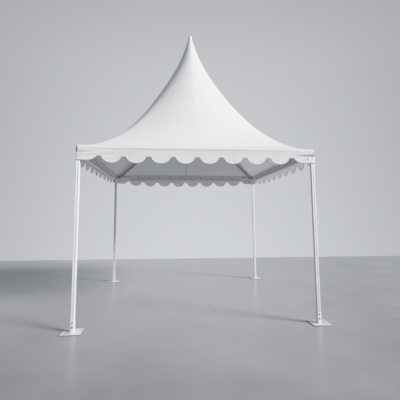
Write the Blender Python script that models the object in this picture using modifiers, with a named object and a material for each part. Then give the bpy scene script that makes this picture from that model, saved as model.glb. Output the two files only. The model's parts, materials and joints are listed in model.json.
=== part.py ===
"""Single-bay pagoda marquee: a square eave frame on four posts under a spired roof cover.

Units are metres, +Z is up. The origin is on the ground under the tent's centre. The front is at -Y.
"""
import math

import bmesh
import bpy
from mathutils import Matrix, Vector

# Driving dimensions
BAY = 3.0                    # outer width over the posts, the same both ways
POST = 0.042                 # side of the square post extrusion
EAVE_TOP = 2.180             # fold line of the cover over the eave
PEAK_TOP = 4.540             # top of the cap
GAP = 0.0003                 # clearance between pieces that touch

# Feet
PLATE = 0.228
PLATE_T = 0.008
ANCHOR_HOLE_R = 0.007
ANCHOR_INSET = 0.086         # from the plate's centre to each hole's centre, both ways
SLEEVE_WALL = 0.003
SLEEVE_H = 0.127

# Post extrusion
GROOVE_W = 0.008
GROOVE_D = 0.006
POST_TOP = 2.140

# Rounding
ROUND_SIDES = 24             # turned pieces, cups and their bores
STRUT_SIDES = 16
POLE_SIDES = 20
HOLE_SIDES = 12
PAST = 0.010                 # how far a cutter runs past the face that it opens

# Eave frame
BEAM_W = 0.042
BEAM_H = 0.100
BEAM_TOP = 2.170
ARM_LENGTH = 0.220           # connector arm that shows between post and beam
ARM_W = 0.034
ARM_H = 0.076
SOCKET_H = 0.140
SOCKET_WALL = 0.003

# Hip struts, crown and king pole
STRUT_R = 0.019
STRUT_FOOT_R = 1.400         # x = y of a point on the strut's axis
STRUT_FOOT_Z = 2.130         # height of the axis there
STRUT_PITCH = 0.657          # rise of the axis for each metre of x = y
STRUT_END_R = 1.430          # x = y of the tube's lower end
CUP_WALL = 0.0035
CUP_DEPTH = 0.050
CUP_ROOT = 0.012             # start of the corner cup, outside the post's inner faces
CROWN_R = 0.042
CROWN_H = 0.120
CROWN_FLOOR = 0.012          # between the hub's rim and a strut's upper end
CROWN_CUP_ROOT = 0.025       # part of a crown cup inside the hub
POLE_SOCKET_ROOT = 0.100     # part of the pole socket inside the hub
POLE_SOCKET_RISE = 0.050     # part of it above the hub
KING_POLE_R = 0.021
KING_POLE_FOOT = 3.010
KING_POLE_TOP = 4.440

# Roof cover
COVER_T = 0.004
PEAK_RING_R = 0.030
SWEEP_POWER = 1.68           # broad sweep from eave to peak
SPIRE_POWER = 17.0           # steep last part up to the pole
SPIRE_SHARE = 0.135
RISE = 2.420                 # both parts together, at a radius of zero
ROUNDING_POWER = 1.5         # how fast the round section at the peak turns square
STRAIGHT_BULGE = 0.001       # a row that bulges less is made straight
ROW_POWER = 1.8              # rows stand closer towards the peak
CAP_LIP = 0.001              # cap's rim outside the peak ring
CAP_SKIRT = 0.018
DOME_STEPS = 5
GORE_ROWS = 20
GORE_COLUMNS = 10

# Valance
LOBES = 8
LOBE_PITCH = 0.305
NOTCH_Z = 2.050
LOBE_Z = 1.970
CORNER_Z = 1.992
NOTCH_FLAT = 0.050           # level top of a notch
LOBE_STEPS = 8
SLOT_LOW_Z = 2.074
SLOT_HIGH_Z = 2.108
SLOT_LENGTH = 0.240          # tapered slot at each end of a valance
CORNER_STEPS = 5

# Lacing flap
FLAP_T = 0.0025
FLAP_LOW_Z = 2.100
FLAP_HALF = 1.215
FLAP_CLEAR = 0.0012          # under the cover's inner face

# Values that follow from the ones above
POST_AT = (BAY - POST) / 2
SLEEVE_IN = POST / 2 + GAP
SLEEVE_OUT = SLEEVE_IN + SLEEVE_WALL
SOCKET_IN = POST / 2 + GAP
SOCKET_OUT = SOCKET_IN + SOCKET_WALL
SOCKET_TOP = BEAM_TOP
BEAM_LOW = BEAM_TOP - BEAM_H
ARM_Z = (BEAM_TOP + BEAM_LOW) / 2
BEAM_HALF = POST_AT - POST / 2 - ARM_LENGTH
COVER_IN = POST_AT + SOCKET_OUT + GAP
COVER_HALF = COVER_IN + COVER_T
PEAK_HIP = PEAK_RING_R / math.sqrt(2)
FULL_ROUND = math.sqrt(2) - 1    # sagitta of a quarter circle over half its chord
CORNERS = ("front_right", "back_right", "back_left", "front_left")
SIDES = ("front", "right", "back", "left")

for old in list(bpy.data.objects):
    bpy.data.objects.remove(old, do_unlink=True)

tent = bpy.data.collections.new("marquee_tent")
cutters = bpy.data.collections.new("cutters")
bpy.context.scene.collection.children.link(tent)
bpy.context.scene.collection.children.link(cutters)


def material(name, colour, roughness, metallic):
    """A Principled material of one colour."""
    made = bpy.data.materials.new(name)
    made.use_nodes = True
    shader = made.node_tree.nodes["Principled BSDF"]
    shader.inputs["Base Color"].default_value = (*colour, 1.0)
    shader.inputs["Roughness"].default_value = roughness
    shader.inputs["Metallic"].default_value = metallic
    return made


FRAME_PAINT = material("frame_paint", (0.78, 0.79, 0.80), 0.38, 0.0)
PLATE_PAINT = material("plate_paint", (0.66, 0.68, 0.70), 0.45, 0.2)
STRUT_METAL = material("strut_metal", (0.62, 0.63, 0.64), 0.40, 0.8)
COVER_PVC = material("cover_pvc", (0.86, 0.87, 0.88), 0.50, 0.0)
CAP_PLASTIC = material("cap_plastic", (0.84, 0.85, 0.86), 0.40, 0.0)


def place(name, data, paint, location=(0, 0, 0), turn=0.0, collection=tent):
    """Adds an object that shows data, turned about +Z and moved to location."""
    obj = bpy.data.objects.new(name, data)
    obj.location = location
    obj.rotation_euler = (0, 0, turn)
    collection.objects.link(obj)
    if paint is not None:
        data.materials.append(paint)
    return obj


def repeat_round(name, names, data, paint, location=(0, 0, 0)):
    """Four objects that share a mesh, each a quarter turn about the tent's centre from the last."""
    made = []
    for quarter, side in enumerate(names):
        turn = quarter * math.pi / 2
        spot = Matrix.Rotation(turn, 4, "Z") @ Vector(location)
        made.append(place(f"{name}_{side}", data, None, spot, turn))
    data.materials.append(paint)
    return made


def flat_outline(name, loops, thickness):
    """A 2D curve of closed loops, the inner ones holes, as thick as told about its own plane."""
    curve = bpy.data.curves.new(name, "CURVE")
    curve.dimensions = "2D"
    curve.fill_mode = "BOTH"
    curve.extrude = thickness / 2
    for loop in loops:
        spline = curve.splines.new("POLY")
        spline.points.add(len(loop) - 1)
        for point, (x, y) in zip(spline.points, loop):
            point.co = (x, y, 0, 1)
        spline.use_cyclic_u = True
    return curve


def square_loop(half):
    """The four corners of a square about the origin."""
    return [(-half, -half), (half, -half), (half, half), (-half, half)]


def circle_loop(x, y, radius):
    """The corners of a regular polygon that stands for a round hole."""
    turns = [2 * math.pi * i / HOLE_SIDES for i in range(HOLE_SIDES)]
    return [(x + radius * math.cos(a), y + radius * math.sin(a)) for a in turns]


def box_mesh(name, low, high):
    """A closed box between two corners."""
    low, high = Vector(low), Vector(high)
    size = high - low
    shape = bmesh.new()
    bmesh.ops.create_cube(shape, size=1.0, matrix=Matrix.Translation((low + high) / 2)
                          @ Matrix.Diagonal((*size, 1.0)))
    mesh = bpy.data.meshes.new(name)
    shape.to_mesh(mesh)
    shape.free()
    return mesh


def rod_mesh(name, start, end, radius, sides=ROUND_SIDES):
    """A closed cylinder from start to end."""
    start, end = Vector(start), Vector(end)
    along = end - start
    shape = bmesh.new()
    frame = Matrix.Translation((start + end) / 2) @ along.to_track_quat("Z", "Y").to_matrix().to_4x4()
    bmesh.ops.create_cone(shape, cap_ends=True, segments=sides, radius1=radius, radius2=radius,
                          depth=along.length, matrix=frame)
    mesh = bpy.data.meshes.new(name)
    shape.to_mesh(mesh)
    shape.free()
    return mesh


def combine(base, operation, pieces):
    """Adds one live Boolean to base for each named mesh, kept as a cutter object."""
    for name, mesh in pieces:
        tool = place(name, mesh, None, collection=cutters)
        tool.hide_render = True
        tool.display_type = "WIRE"
        step = base.modifiers.new(name, "BOOLEAN")
        step.operation = operation
        step.solver = "EXACT"
        step.object = tool


def result_mesh(obj):
    """The mesh of obj with its modifiers applied."""
    bpy.context.view_layer.update()
    graph = bpy.context.evaluated_depsgraph_get()
    return bpy.data.meshes.new_from_object(obj.evaluated_get(graph))


def strut_axis(hip):
    """The point on the front right strut's axis where x is hip."""
    return Vector((hip, -hip, STRUT_FOOT_Z + (STRUT_FOOT_R - hip) * STRUT_PITCH))


STRUT_DIRECTION = (strut_axis(0.0) - strut_axis(1.0)).normalized()
STRUT_LOW = strut_axis(STRUT_END_R)
STRUT_HIGH = strut_axis(0.0) - STRUT_DIRECTION * (CROWN_R + CROWN_FLOOR)


def base_plates():
    """Square foot plates with four anchor holes each."""
    holes = [circle_loop(x, y, ANCHOR_HOLE_R) for x in (-ANCHOR_INSET, ANCHOR_INSET)
             for y in (-ANCHOR_INSET, ANCHOR_INSET)]
    curve = flat_outline("base_plate", [square_loop(PLATE / 2)] + holes, PLATE_T)
    repeat_round("base_plate", CORNERS, curve, PLATE_PAINT, (POST_AT, -POST_AT, PLATE_T / 2))


def foot_sleeves():
    """Square tubes welded on the plates, in which the posts stand."""
    curve = flat_outline("foot_sleeve", [square_loop(SLEEVE_OUT), square_loop(SLEEVE_IN)], SLEEVE_H)
    middle = PLATE_T + GAP + SLEEVE_H / 2
    repeat_round("foot_sleeve", CORNERS, curve, PLATE_PAINT, (POST_AT, -POST_AT, middle))


def post_outline():
    """A square section with a groove in the middle of each face."""
    half, groove, floor = POST / 2, GROOVE_W / 2, POST / 2 - GROOVE_D
    side = [(-half, -half), (-groove, -half), (-groove, -floor), (groove, -floor), (groove, -half)]
    loop = []
    for quarter in range(4):
        turn = Matrix.Rotation(quarter * math.pi / 2, 2)
        loop += [tuple(turn @ Vector(point)) for point in side]
    return loop


def posts():
    """Grooved corner posts from the plates up into the corner connectors."""
    low = PLATE_T + GAP
    curve = flat_outline("post", [post_outline()], POST_TOP - low)
    repeat_round("post", CORNERS, curve, FRAME_PAINT, (POST_AT, -POST_AT, (low + POST_TOP) / 2))


def corner_connectors():
    """Cap over each post with two arms for the beams and an inclined cup for the hip strut."""
    low = SOCKET_TOP - SOCKET_H
    inner = POST_AT - SOCKET_OUT + SOCKET_WALL / 2
    reach = BEAM_HALF + GAP
    arm_low, arm_high = ARM_Z - ARM_H / 2, ARM_Z + ARM_H / 2
    socket = box_mesh("corner_connector", (POST_AT - SOCKET_OUT, -POST_AT - SOCKET_OUT, low),
                      (POST_AT + SOCKET_OUT, -POST_AT + SOCKET_OUT, SOCKET_TOP))
    master = place("corner_connector_front_right", socket, FRAME_PAINT)
    cup_start = strut_axis(POST_AT - POST / 2 + CUP_ROOT)
    cup_end = STRUT_LOW + STRUT_DIRECTION * CUP_DEPTH
    combine(master, "UNION", [
        ("arm_along_x", box_mesh("arm_along_x", (reach, -POST_AT - ARM_W / 2, arm_low),
                                 (inner, -POST_AT + ARM_W / 2, arm_high))),
        ("arm_along_y", box_mesh("arm_along_y", (POST_AT - ARM_W / 2, -inner, arm_low),
                                 (POST_AT + ARM_W / 2, -reach, arm_high))),
        ("strut_cup", rod_mesh("strut_cup", cup_start, cup_end, STRUT_R + GAP + CUP_WALL))])
    bore_start = STRUT_LOW - STRUT_DIRECTION * GAP
    bore_end = cup_end + STRUT_DIRECTION * PAST
    combine(master, "DIFFERENCE", [
        ("post_pocket", box_mesh("post_pocket", (POST_AT - SOCKET_IN, -POST_AT - SOCKET_IN, low - PAST),
                                 (POST_AT + SOCKET_IN, -POST_AT + SOCKET_IN, POST_TOP + GAP))),
        ("cup_bore", rod_mesh("cup_bore", bore_start, bore_end, STRUT_R + GAP))])
    shared = result_mesh(master)
    for quarter, corner in enumerate(CORNERS[1:], start=1):
        place(f"corner_connector_{corner}", shared, None, turn=quarter * math.pi / 2)


def eave_beams():
    """Straight beams between the connector arms."""
    mesh = box_mesh("eave_beam", (-BEAM_HALF, -POST_AT - BEAM_W / 2, BEAM_LOW),
                    (BEAM_HALF, -POST_AT + BEAM_W / 2, BEAM_TOP))
    repeat_round("eave_beam", SIDES, mesh, FRAME_PAINT)


def hip_struts():
    """Round tubes that rise from the corners to the crown and carry the king pole."""
    mesh = rod_mesh("hip_strut", STRUT_LOW, STRUT_HIGH, STRUT_R, STRUT_SIDES)
    repeat_round("hip_strut", CORNERS, mesh, STRUT_METAL)


def crown():
    """Hub with four strut cups below and a socket for the king pole above."""
    centre = strut_axis(0.0)
    low, high = centre.z - CROWN_H / 2, centre.z + CROWN_H / 2
    body = rod_mesh("crown", (0, 0, low), (0, 0, high), CROWN_R)
    hub = place("crown", body, STRUT_METAL)
    cup_r = STRUT_R + GAP + CUP_WALL
    cups, bores = [], []
    for quarter, corner in enumerate(CORNERS):
        turn = Matrix.Rotation(quarter * math.pi / 2, 4, "Z")
        start = turn @ (STRUT_HIGH + STRUT_DIRECTION * CROWN_CUP_ROOT)
        end = turn @ (STRUT_HIGH - STRUT_DIRECTION * CUP_DEPTH)
        floor = turn @ (STRUT_HIGH + STRUT_DIRECTION * GAP)
        mouth = turn @ (STRUT_HIGH - STRUT_DIRECTION * (CUP_DEPTH + PAST))
        cups.append((f"crown_cup_{corner}", rod_mesh("crown_cup", start, end, cup_r)))
        bores.append((f"crown_bore_{corner}", rod_mesh("crown_bore", floor, mouth, STRUT_R + GAP)))
    socket_top = high + POLE_SOCKET_RISE
    cups.append(("pole_socket", rod_mesh("pole_socket", (0, 0, high - POLE_SOCKET_ROOT),
                                         (0, 0, socket_top), KING_POLE_R + GAP + CUP_WALL)))
    bores.append(("pole_bore", rod_mesh("pole_bore", (0, 0, KING_POLE_FOOT - GAP),
                                        (0, 0, socket_top + PAST), KING_POLE_R + GAP)))
    combine(hub, "UNION", cups)
    combine(hub, "DIFFERENCE", bores)


def king_pole():
    """Upright tube from the crown to the peak."""
    mesh = rod_mesh("king_pole", (0, 0, KING_POLE_FOOT), (0, 0, KING_POLE_TOP), KING_POLE_R,
                    POLE_SIDES)
    place("king_pole", mesh, STRUT_METAL)


def turned(name, profile, paint):
    """A solid of revolution about +Z from a profile that runs down its outer side."""
    mesh = bpy.data.meshes.new(name)
    mesh.from_pydata([(x, 0, z) for x, z in profile], [(i, i + 1) for i in range(len(profile) - 1)], [])
    obj = place(name, mesh, paint)
    screw = obj.modifiers.new("turn", "SCREW")
    screw.steps = ROUND_SIDES
    screw.render_steps = ROUND_SIDES
    screw.use_merge_vertices = True
    screw.merge_threshold = 0.0001
    return obj


def peak_cap():
    """Domed cap whose plug stands on the king pole and holds the cover's top ring."""
    rim_r = PEAK_RING_R + CAP_LIP
    plug_r = min(point.xy.length for point in gore_row(PEAK_HIP, COVER_T)) - 2 * GAP
    ring_top = hip_height(PEAK_HIP) + GAP
    rim_z = ring_top + CAP_SKIRT
    dome = [(rim_r * math.sin(a), rim_z + (PEAK_TOP - rim_z) * math.cos(a))
            for a in (math.pi / 2 * i / DOME_STEPS for i in range(DOME_STEPS + 1))]
    turned("peak_cap", dome + [(rim_r, ring_top), (plug_r, ring_top), (plug_r, KING_POLE_TOP + GAP),
                               (0, KING_POLE_TOP + GAP)], CAP_PLASTIC)


def hip_height(hip):
    """Height of the cover's outer face where a hip seam is hip from the centre, along x and y."""
    reach = 1 - hip / COVER_HALF
    sweep = (1 - SPIRE_SHARE) * reach ** SWEEP_POWER
    return EAVE_TOP + RISE * (sweep + SPIRE_SHARE * reach ** SPIRE_POWER)


def hip_slope(hip):
    """Rise of the hip seam for each metre of hip, which is negative."""
    reach = 1 - hip / COVER_HALF
    sweep = (1 - SPIRE_SHARE) * SWEEP_POWER * reach ** (SWEEP_POWER - 1)
    spire = SPIRE_SHARE * SPIRE_POWER * reach ** (SPIRE_POWER - 1)
    return -RISE / COVER_HALF * (sweep + spire)


def gore_row(hip, depth):
    """One level row of a front gore, depth below its outer face, from hip to hip.

    The row is an arc: a quarter circle at the peak, straight at the eave.
    """
    slope = hip_slope(hip)
    stretch = math.hypot(slope, 1.0)
    z = hip_height(hip) - depth / stretch
    half = hip + depth * slope / stretch
    bulge = FULL_ROUND * (1 - hip / COVER_HALF) ** ROUNDING_POWER
    side = half - GAP / 2
    if bulge < STRAIGHT_BULGE:
        return [Vector((side * (2 * i / GORE_COLUMNS - 1), -half, z)) for i in range(GORE_COLUMNS + 1)]
    sagitta = bulge * half
    radius = (half ** 2 + sagitta ** 2) / (2 * sagitta)
    reach = math.asin(min(1.0, half / radius))
    row = []
    for i in range(GORE_COLUMNS + 1):
        angle = reach * (2 * i / GORE_COLUMNS - 1)
        y = -half - sagitta + radius * (1 - math.cos(angle))
        row.append(Vector((radius * math.sin(angle) * side / half, y, z)))
    return row


def roof_gores():
    """Four welded panels of the cover, each a loft between an outer and an inner face."""
    hips = [PEAK_HIP + (COVER_HALF - PEAK_HIP) * (i / GORE_ROWS) ** ROW_POWER
            for i in range(GORE_ROWS + 1)]
    shape = bmesh.new()
    faces = [[[shape.verts.new(p) for p in gore_row(hip, depth)] for hip in hips]
             for depth in (0.0, COVER_T)]
    outer, inner = faces
    for low, high in zip(range(GORE_ROWS), range(1, GORE_ROWS + 1)):
        for left in range(GORE_COLUMNS):
            right = left + 1
            shape.faces.new((outer[low][left], outer[high][left], outer[high][right], outer[low][right]))
            shape.faces.new((inner[low][right], inner[high][right], inner[high][left], inner[low][left]))
        for column in (0, -1):
            rim = (outer[low][column], inner[low][column], inner[high][column], outer[high][column])
            shape.faces.new(rim if column == 0 else rim[::-1])
    for row, turned_round in ((0, False), (GORE_ROWS, True)):
        for left in range(GORE_COLUMNS):
            rim = (outer[row][left], outer[row][left + 1], inner[row][left + 1], inner[row][left])
            shape.faces.new(rim[::-1] if turned_round else rim)
    bmesh.ops.recalc_face_normals(shape, faces=shape.faces)
    mesh = bpy.data.meshes.new("roof_gore")
    shape.to_mesh(mesh)
    shape.free()
    repeat_round("roof_gore", SIDES, mesh, COVER_PVC)


def lobe_edge():
    """The scalloped lower edge from the left end to the right, as (x, z) points."""
    edge = [(-COVER_HALF, CORNER_Z)]
    first = -LOBES / 2 * LOBE_PITCH
    shoulder = NOTCH_FLAT / 2
    corner_flat = COVER_HALF + first - 0.5 * LOBE_PITCH
    for i in range(CORNER_STEPS + 1):
        angle = math.pi / 2 * i / CORNER_STEPS
        start = -COVER_HALF + corner_flat
        edge.append((start + (first - shoulder - start) * math.sin(angle),
                     NOTCH_Z - (NOTCH_Z - CORNER_Z) * math.cos(angle)))
    for lobe in range(LOBES):
        middle = first + (lobe + 0.5) * LOBE_PITCH
        half = LOBE_PITCH / 2 - shoulder
        for i in range(LOBE_STEPS + 1):
            angle = math.pi * i / LOBE_STEPS
            edge.append((middle - half * math.cos(angle), NOTCH_Z - (NOTCH_Z - LOBE_Z) * math.sin(angle)))
    edge += [(-x, z) for x, z in reversed(edge[1:CORNER_STEPS + 2])]
    return edge


def valance_outline():
    """The band below the eave fold: scallops below, and a tapered slot open at each end.

    The right end stops short of the next side's band, so that four of them close the corners.
    """
    right = COVER_IN - GAP
    slot_tip = right - SLOT_LENGTH
    slot_z = (SLOT_LOW_Z + SLOT_HIGH_Z) / 2
    top = EAVE_TOP - COVER_T - GAP
    edge = lobe_edge() + [(right, CORNER_Z)]
    right_end = [(right, SLOT_LOW_Z), (slot_tip, slot_z), (right, SLOT_HIGH_Z), (right, top)]
    left_end = [(-COVER_HALF, top), (-COVER_HALF, SLOT_HIGH_Z), (-slot_tip, slot_z),
                (-COVER_HALF, SLOT_LOW_Z)]
    return edge + right_end + left_end


def valances():
    """Scalloped bands that hang from the eave fold against the beams' outer faces."""
    curve = flat_outline("valance", [valance_outline()], COVER_T)
    middle = COVER_IN + COVER_T / 2
    made = repeat_round("valance", SIDES, curve, COVER_PVC, (0, -middle, 0))
    for band in made:
        band.rotation_euler[0] = math.pi / 2


def lacing_flaps():
    """The cover's inner hems on the beams' inner faces, which take the lacing eyelets."""
    inner = POST_AT - BEAM_W / 2 - GAP
    top = hip_height(inner) - COVER_T - FLAP_CLEAR
    mesh = box_mesh("lacing_flap", (-FLAP_HALF, -inner, FLAP_LOW_Z), (FLAP_HALF, -inner + FLAP_T, top))
    repeat_round("lacing_flap", SIDES, mesh, COVER_PVC)


base_plates()
foot_sleeves()
posts()
corner_connectors()
eave_beams()
hip_struts()
crown()
king_pole()
peak_cap()
roof_gores()
valances()
lacing_flaps()
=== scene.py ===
"""The looks of a 3 m by 3 m pagoda marquee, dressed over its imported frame.

Metres, +Z up, origin on the ground under the tent's centre, front at -Y. What stands at all four
corners or sides is built at the front right corner or the front side, and turned about +Z by quarters.
"""

import json
import logging
import math
from bisect import bisect_left
from collections.abc import Callable, Iterable, Sequence
from dataclasses import dataclass, field
from enum import Enum
from functools import cached_property

import bmesh
import bpy
from bmesh.types import BMesh, BMVert
from bpy.types import Material, Mesh, Node, NodeSocket, Object
from mathutils import Matrix, Vector, noise
from mathutils.kdtree import KDTree

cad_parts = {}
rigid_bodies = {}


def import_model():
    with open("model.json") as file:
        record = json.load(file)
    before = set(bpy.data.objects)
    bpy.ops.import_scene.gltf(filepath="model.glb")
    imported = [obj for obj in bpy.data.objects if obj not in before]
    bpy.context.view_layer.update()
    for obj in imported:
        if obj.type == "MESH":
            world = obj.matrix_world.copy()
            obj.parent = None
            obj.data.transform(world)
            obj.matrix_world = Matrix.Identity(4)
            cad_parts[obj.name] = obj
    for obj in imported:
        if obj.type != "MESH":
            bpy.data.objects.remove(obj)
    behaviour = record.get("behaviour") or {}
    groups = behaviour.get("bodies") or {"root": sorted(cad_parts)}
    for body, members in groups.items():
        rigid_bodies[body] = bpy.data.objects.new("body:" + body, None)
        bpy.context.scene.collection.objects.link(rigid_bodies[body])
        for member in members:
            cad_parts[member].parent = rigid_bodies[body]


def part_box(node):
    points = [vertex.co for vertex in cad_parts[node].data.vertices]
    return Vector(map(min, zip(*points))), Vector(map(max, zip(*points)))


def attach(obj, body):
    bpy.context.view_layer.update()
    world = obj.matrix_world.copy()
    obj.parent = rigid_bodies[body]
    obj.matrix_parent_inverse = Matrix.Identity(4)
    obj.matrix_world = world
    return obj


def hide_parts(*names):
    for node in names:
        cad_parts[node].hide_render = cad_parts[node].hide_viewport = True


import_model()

Point = tuple[float, float]
log = logging.getLogger("marquee")
BODY = "root"
SHARP_FROM = 35.0                # angle in degrees past which a piece's edge stays sharp
QUARTER = math.pi / 2
FULL_ROUND = math.sqrt(2) - 1    # sagitta of a quarter circle over half its chord


class Slot(Enum):
    """The record's material slots."""

    FRAME = "frame_paint"
    PLATE = "plate_paint"
    STRUT = "strut_metal"
    COVER = "cover_pvc"
    CAP = "cap_plastic"


class Station(Enum):
    """Four like places round the tent, each by its quarter turns from the first."""

    @property
    def tag(self) -> str:
        """The place's name in the frame's node names."""
        return self.name.lower()

    @property
    def turn(self) -> Matrix:
        """The turn that brings a piece from the first place to this one."""
        return Matrix.Rotation(self.value * QUARTER, 4, "Z")

    @classmethod
    def turns(cls) -> list[Matrix]:
        """The turns to all four places."""
        return [place.turn for place in cls]


class Corner(Station):
    """The tent's corners."""

    FRONT_RIGHT = 0
    BACK_RIGHT = 1
    BACK_LEFT = 2
    FRONT_LEFT = 3


class Side(Station):
    """The tent's sides."""

    FRONT = 0
    RIGHT = 1
    BACK = 2
    LEFT = 3

    @property
    def out(self) -> Vector:
        """The direction away from the tent."""
        return self.turn @ Vector((0.0, -1.0, 0.0))

    def corner(self, x: float) -> Corner:
        """The corner at the side's right end for a positive x, or at its left end."""
        return Corner(self.value if x > 0 else (self.value - 1) % 4)


class SeamPlace(Enum):
    """Where a weld band lies on the roof."""

    CENTRE = "centre_seam"
    HIP = "hip_seam"
    INNER = "inner_seam"


class Field:
    """A Geometry Nodes socket that Python's operators extend by Math nodes."""

    def __init__(self, net: "Net", socket: NodeSocket) -> None:
        """Wraps an output socket of the nodes that new ones are added to."""
        self.net = net
        self.socket = socket

    def by(self, operation: str, *others: "Field | float") -> "Field":
        """The result of a Math node on this value and the others that its operation takes."""
        return Field(self.net, self.net.math(operation, self, *others))

    def __add__(self, other: "Field | float") -> "Field":
        """The sum."""
        return self.by("ADD", other)

    def __radd__(self, other: float) -> "Field":
        """The sum, with a number first."""
        return self.by("ADD", other)

    def __sub__(self, other: "Field | float") -> "Field":
        """The difference."""
        return self.by("SUBTRACT", other)

    def __rsub__(self, other: float) -> "Field":
        """The difference, with a number first."""
        return self.by("MULTIPLY", -1.0).by("ADD", other)

    def __mul__(self, other: "Field | float") -> "Field":
        """The product."""
        return self.by("MULTIPLY", other)

    def __rmul__(self, other: float) -> "Field":
        """The product, with a number first."""
        return self.by("MULTIPLY", other)

    def __truediv__(self, other: "Field | float") -> "Field":
        """The quotient."""
        return self.by("DIVIDE", other)

    def __pow__(self, power: "Field | float") -> "Field":
        """The power, of a value that is never negative."""
        return self.by("POWER", power)

    def __neg__(self) -> "Field":
        """The value with its sign changed."""
        return self.by("MULTIPLY", -1.0)

    def __abs__(self) -> "Field":
        """The value without its sign."""
        return self.by("ABSOLUTE")

    def clamp(self, low: float, high: float) -> "Field":
        """The value held between two numbers."""
        return self.by("MAXIMUM", low).by("MINIMUM", high)


class Net:
    """A node tree, filled by kinds, settings and named inputs."""

    def __init__(self, tree: bpy.types.NodeTree) -> None:
        """Takes over a node tree."""
        self.tree = tree

    def feed(self, socket: NodeSocket, value: object) -> None:
        """Gives an input socket a link or a plain value.

        Args:
            socket: The input socket.
            value: A Field, an output socket, or what default_value takes.
        """
        source = value.socket if isinstance(value, Field) else value
        if isinstance(source, NodeSocket):
            self.tree.links.new(source, socket)
        else:
            socket.default_value = source

    def add(self, kind: str, settings: dict[str, object] | None = None, **values: object) -> Node:
        """Adds a node.

        Args:
            kind: The node's type.
            settings: The node's own properties.
            values: Its inputs by name, with _ for a space.

        Returns:
            The node.
        """
        node = self.tree.nodes.new(kind)
        for key, value in (settings or {}).items():
            setattr(node, key, value)
        for key, value in values.items():
            self.feed(node.inputs[key.replace("_", " ")], value)
        return node

    def math(self, operation: str, *values: object) -> NodeSocket:
        """Adds one Math node.

        Args:
            operation: Its operation.
            values: Its inputs, in order.

        Returns:
            Its result.
        """
        node = self.add("ShaderNodeMath", {"operation": operation})
        for socket, value in zip(node.inputs, values):
            self.feed(socket, value)
        return node.outputs[0]


class Tree(Net):
    """A Geometry Nodes group with named inputs, written as formulas."""

    def __init__(self, name: str, takes_geometry: bool = False) -> None:
        """Starts an empty group.

        Args:
            name: The group's name.
            takes_geometry: Whether it reads the mesh of its object.
        """
        super().__init__(bpy.data.node_groups.new(name, "GeometryNodeTree"))
        for way in ["INPUT"] * takes_geometry + ["OUTPUT"]:
            self.tree.interface.new_socket("Geometry", in_out=way, socket_type="NodeSocketGeometry")
        self.entry = self.add("NodeGroupInput")
        self.leave = self.add("NodeGroupOutput")

    def size(self, name: str) -> Field:
        """Adds a named input for a size and returns its value in the tree."""
        self.tree.interface.new_socket(name, in_out="INPUT", socket_type="NodeSocketFloat")
        return Field(self, self.entry.outputs[name])

    def vector(self, x: Field | float, y: Field | float, z: Field | float) -> NodeSocket:
        """Joins three values to a vector."""
        return self.add("ShaderNodeCombineXYZ", X=x, Y=y, Z=z).outputs[0]

    def position(self) -> tuple[Field, Field, Field]:
        """The three coordinates of each point."""
        split = self.add("ShaderNodeSeparateXYZ", Vector=self.add("GeometryNodeInputPosition").outputs[0])
        return tuple(Field(self, split.outputs[axis]) for axis in range(3))

    def facing(self) -> NodeSocket:
        """The direction that sweep_mesh stored on each point."""
        return self.add("GeometryNodeInputNamedAttribute", {"data_type": "FLOAT_VECTOR"},
                        Name="facing").outputs["Attribute"]

    def set_on_points(self, shape: NodeSocket) -> NodeSocket:
        """Sets a copy of a shape on each point of the object's mesh, along the point's facing.

        Args:
            shape: The shape, made up +Z from the origin.

        Returns:
            The copies.
        """
        turn = self.add("FunctionNodeAlignRotationToVector", {"axis": "Z"}, Vector=self.facing())
        points = self.add("GeometryNodeMeshToPoints", Mesh=self.entry.outputs["Geometry"])
        return self.add("GeometryNodeInstanceOnPoints", Points=points.outputs[0], Instance=shape,
                        Rotation=turn.outputs[0]).outputs[0]

    def close(self, geometry: NodeSocket, material: Material) -> None:
        """Ends the tree in Realize Instances and Set Material.

        Args:
            geometry: The last geometry.
            material: The material of all its faces.
        """
        real = self.add("GeometryNodeRealizeInstances", Geometry=geometry)
        painted = self.add("GeometryNodeSetMaterial", Geometry=real.outputs[0], Material=material)
        self.feed(self.leave.inputs[0], painted.outputs[0])

    def grow(self, name: str, inputs: dict[str, float], source: Mesh | None = None) -> Mesh:
        """Evaluates the tree to a plain mesh.

        Args:
            name: The mesh's name.
            inputs: The value of each named input.
            source: The mesh that the tree reads, where it takes one.

        Returns:
            The mesh, with every modifier gone.
        """
        obj = bpy.data.objects.new(name, source or bpy.data.meshes.new(name))
        bpy.context.scene.collection.objects.link(obj)
        modifier = obj.modifiers.new(name, "NODES")
        modifier.node_group = self.tree
        for socket in self.tree.interface.items_tree:
            if socket.in_out == "INPUT" and socket.name in inputs:
                modifier[socket.identifier] = inputs[socket.name]
        mesh = evaluated_mesh(obj)
        bpy.data.objects.remove(obj)
        mesh.name = name
        return mesh


def evaluated_mesh(obj: Object) -> Mesh:
    """Applies an object's modifiers.

    Args:
        obj: The object, which stays as it is.

    Returns:
        A plain mesh.
    """
    bpy.context.view_layer.update()
    graph = bpy.context.evaluated_depsgraph_get()
    return bpy.data.meshes.new_from_object(obj.evaluated_get(graph), preserve_all_data_layers=True,
                                           depsgraph=graph)


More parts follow.
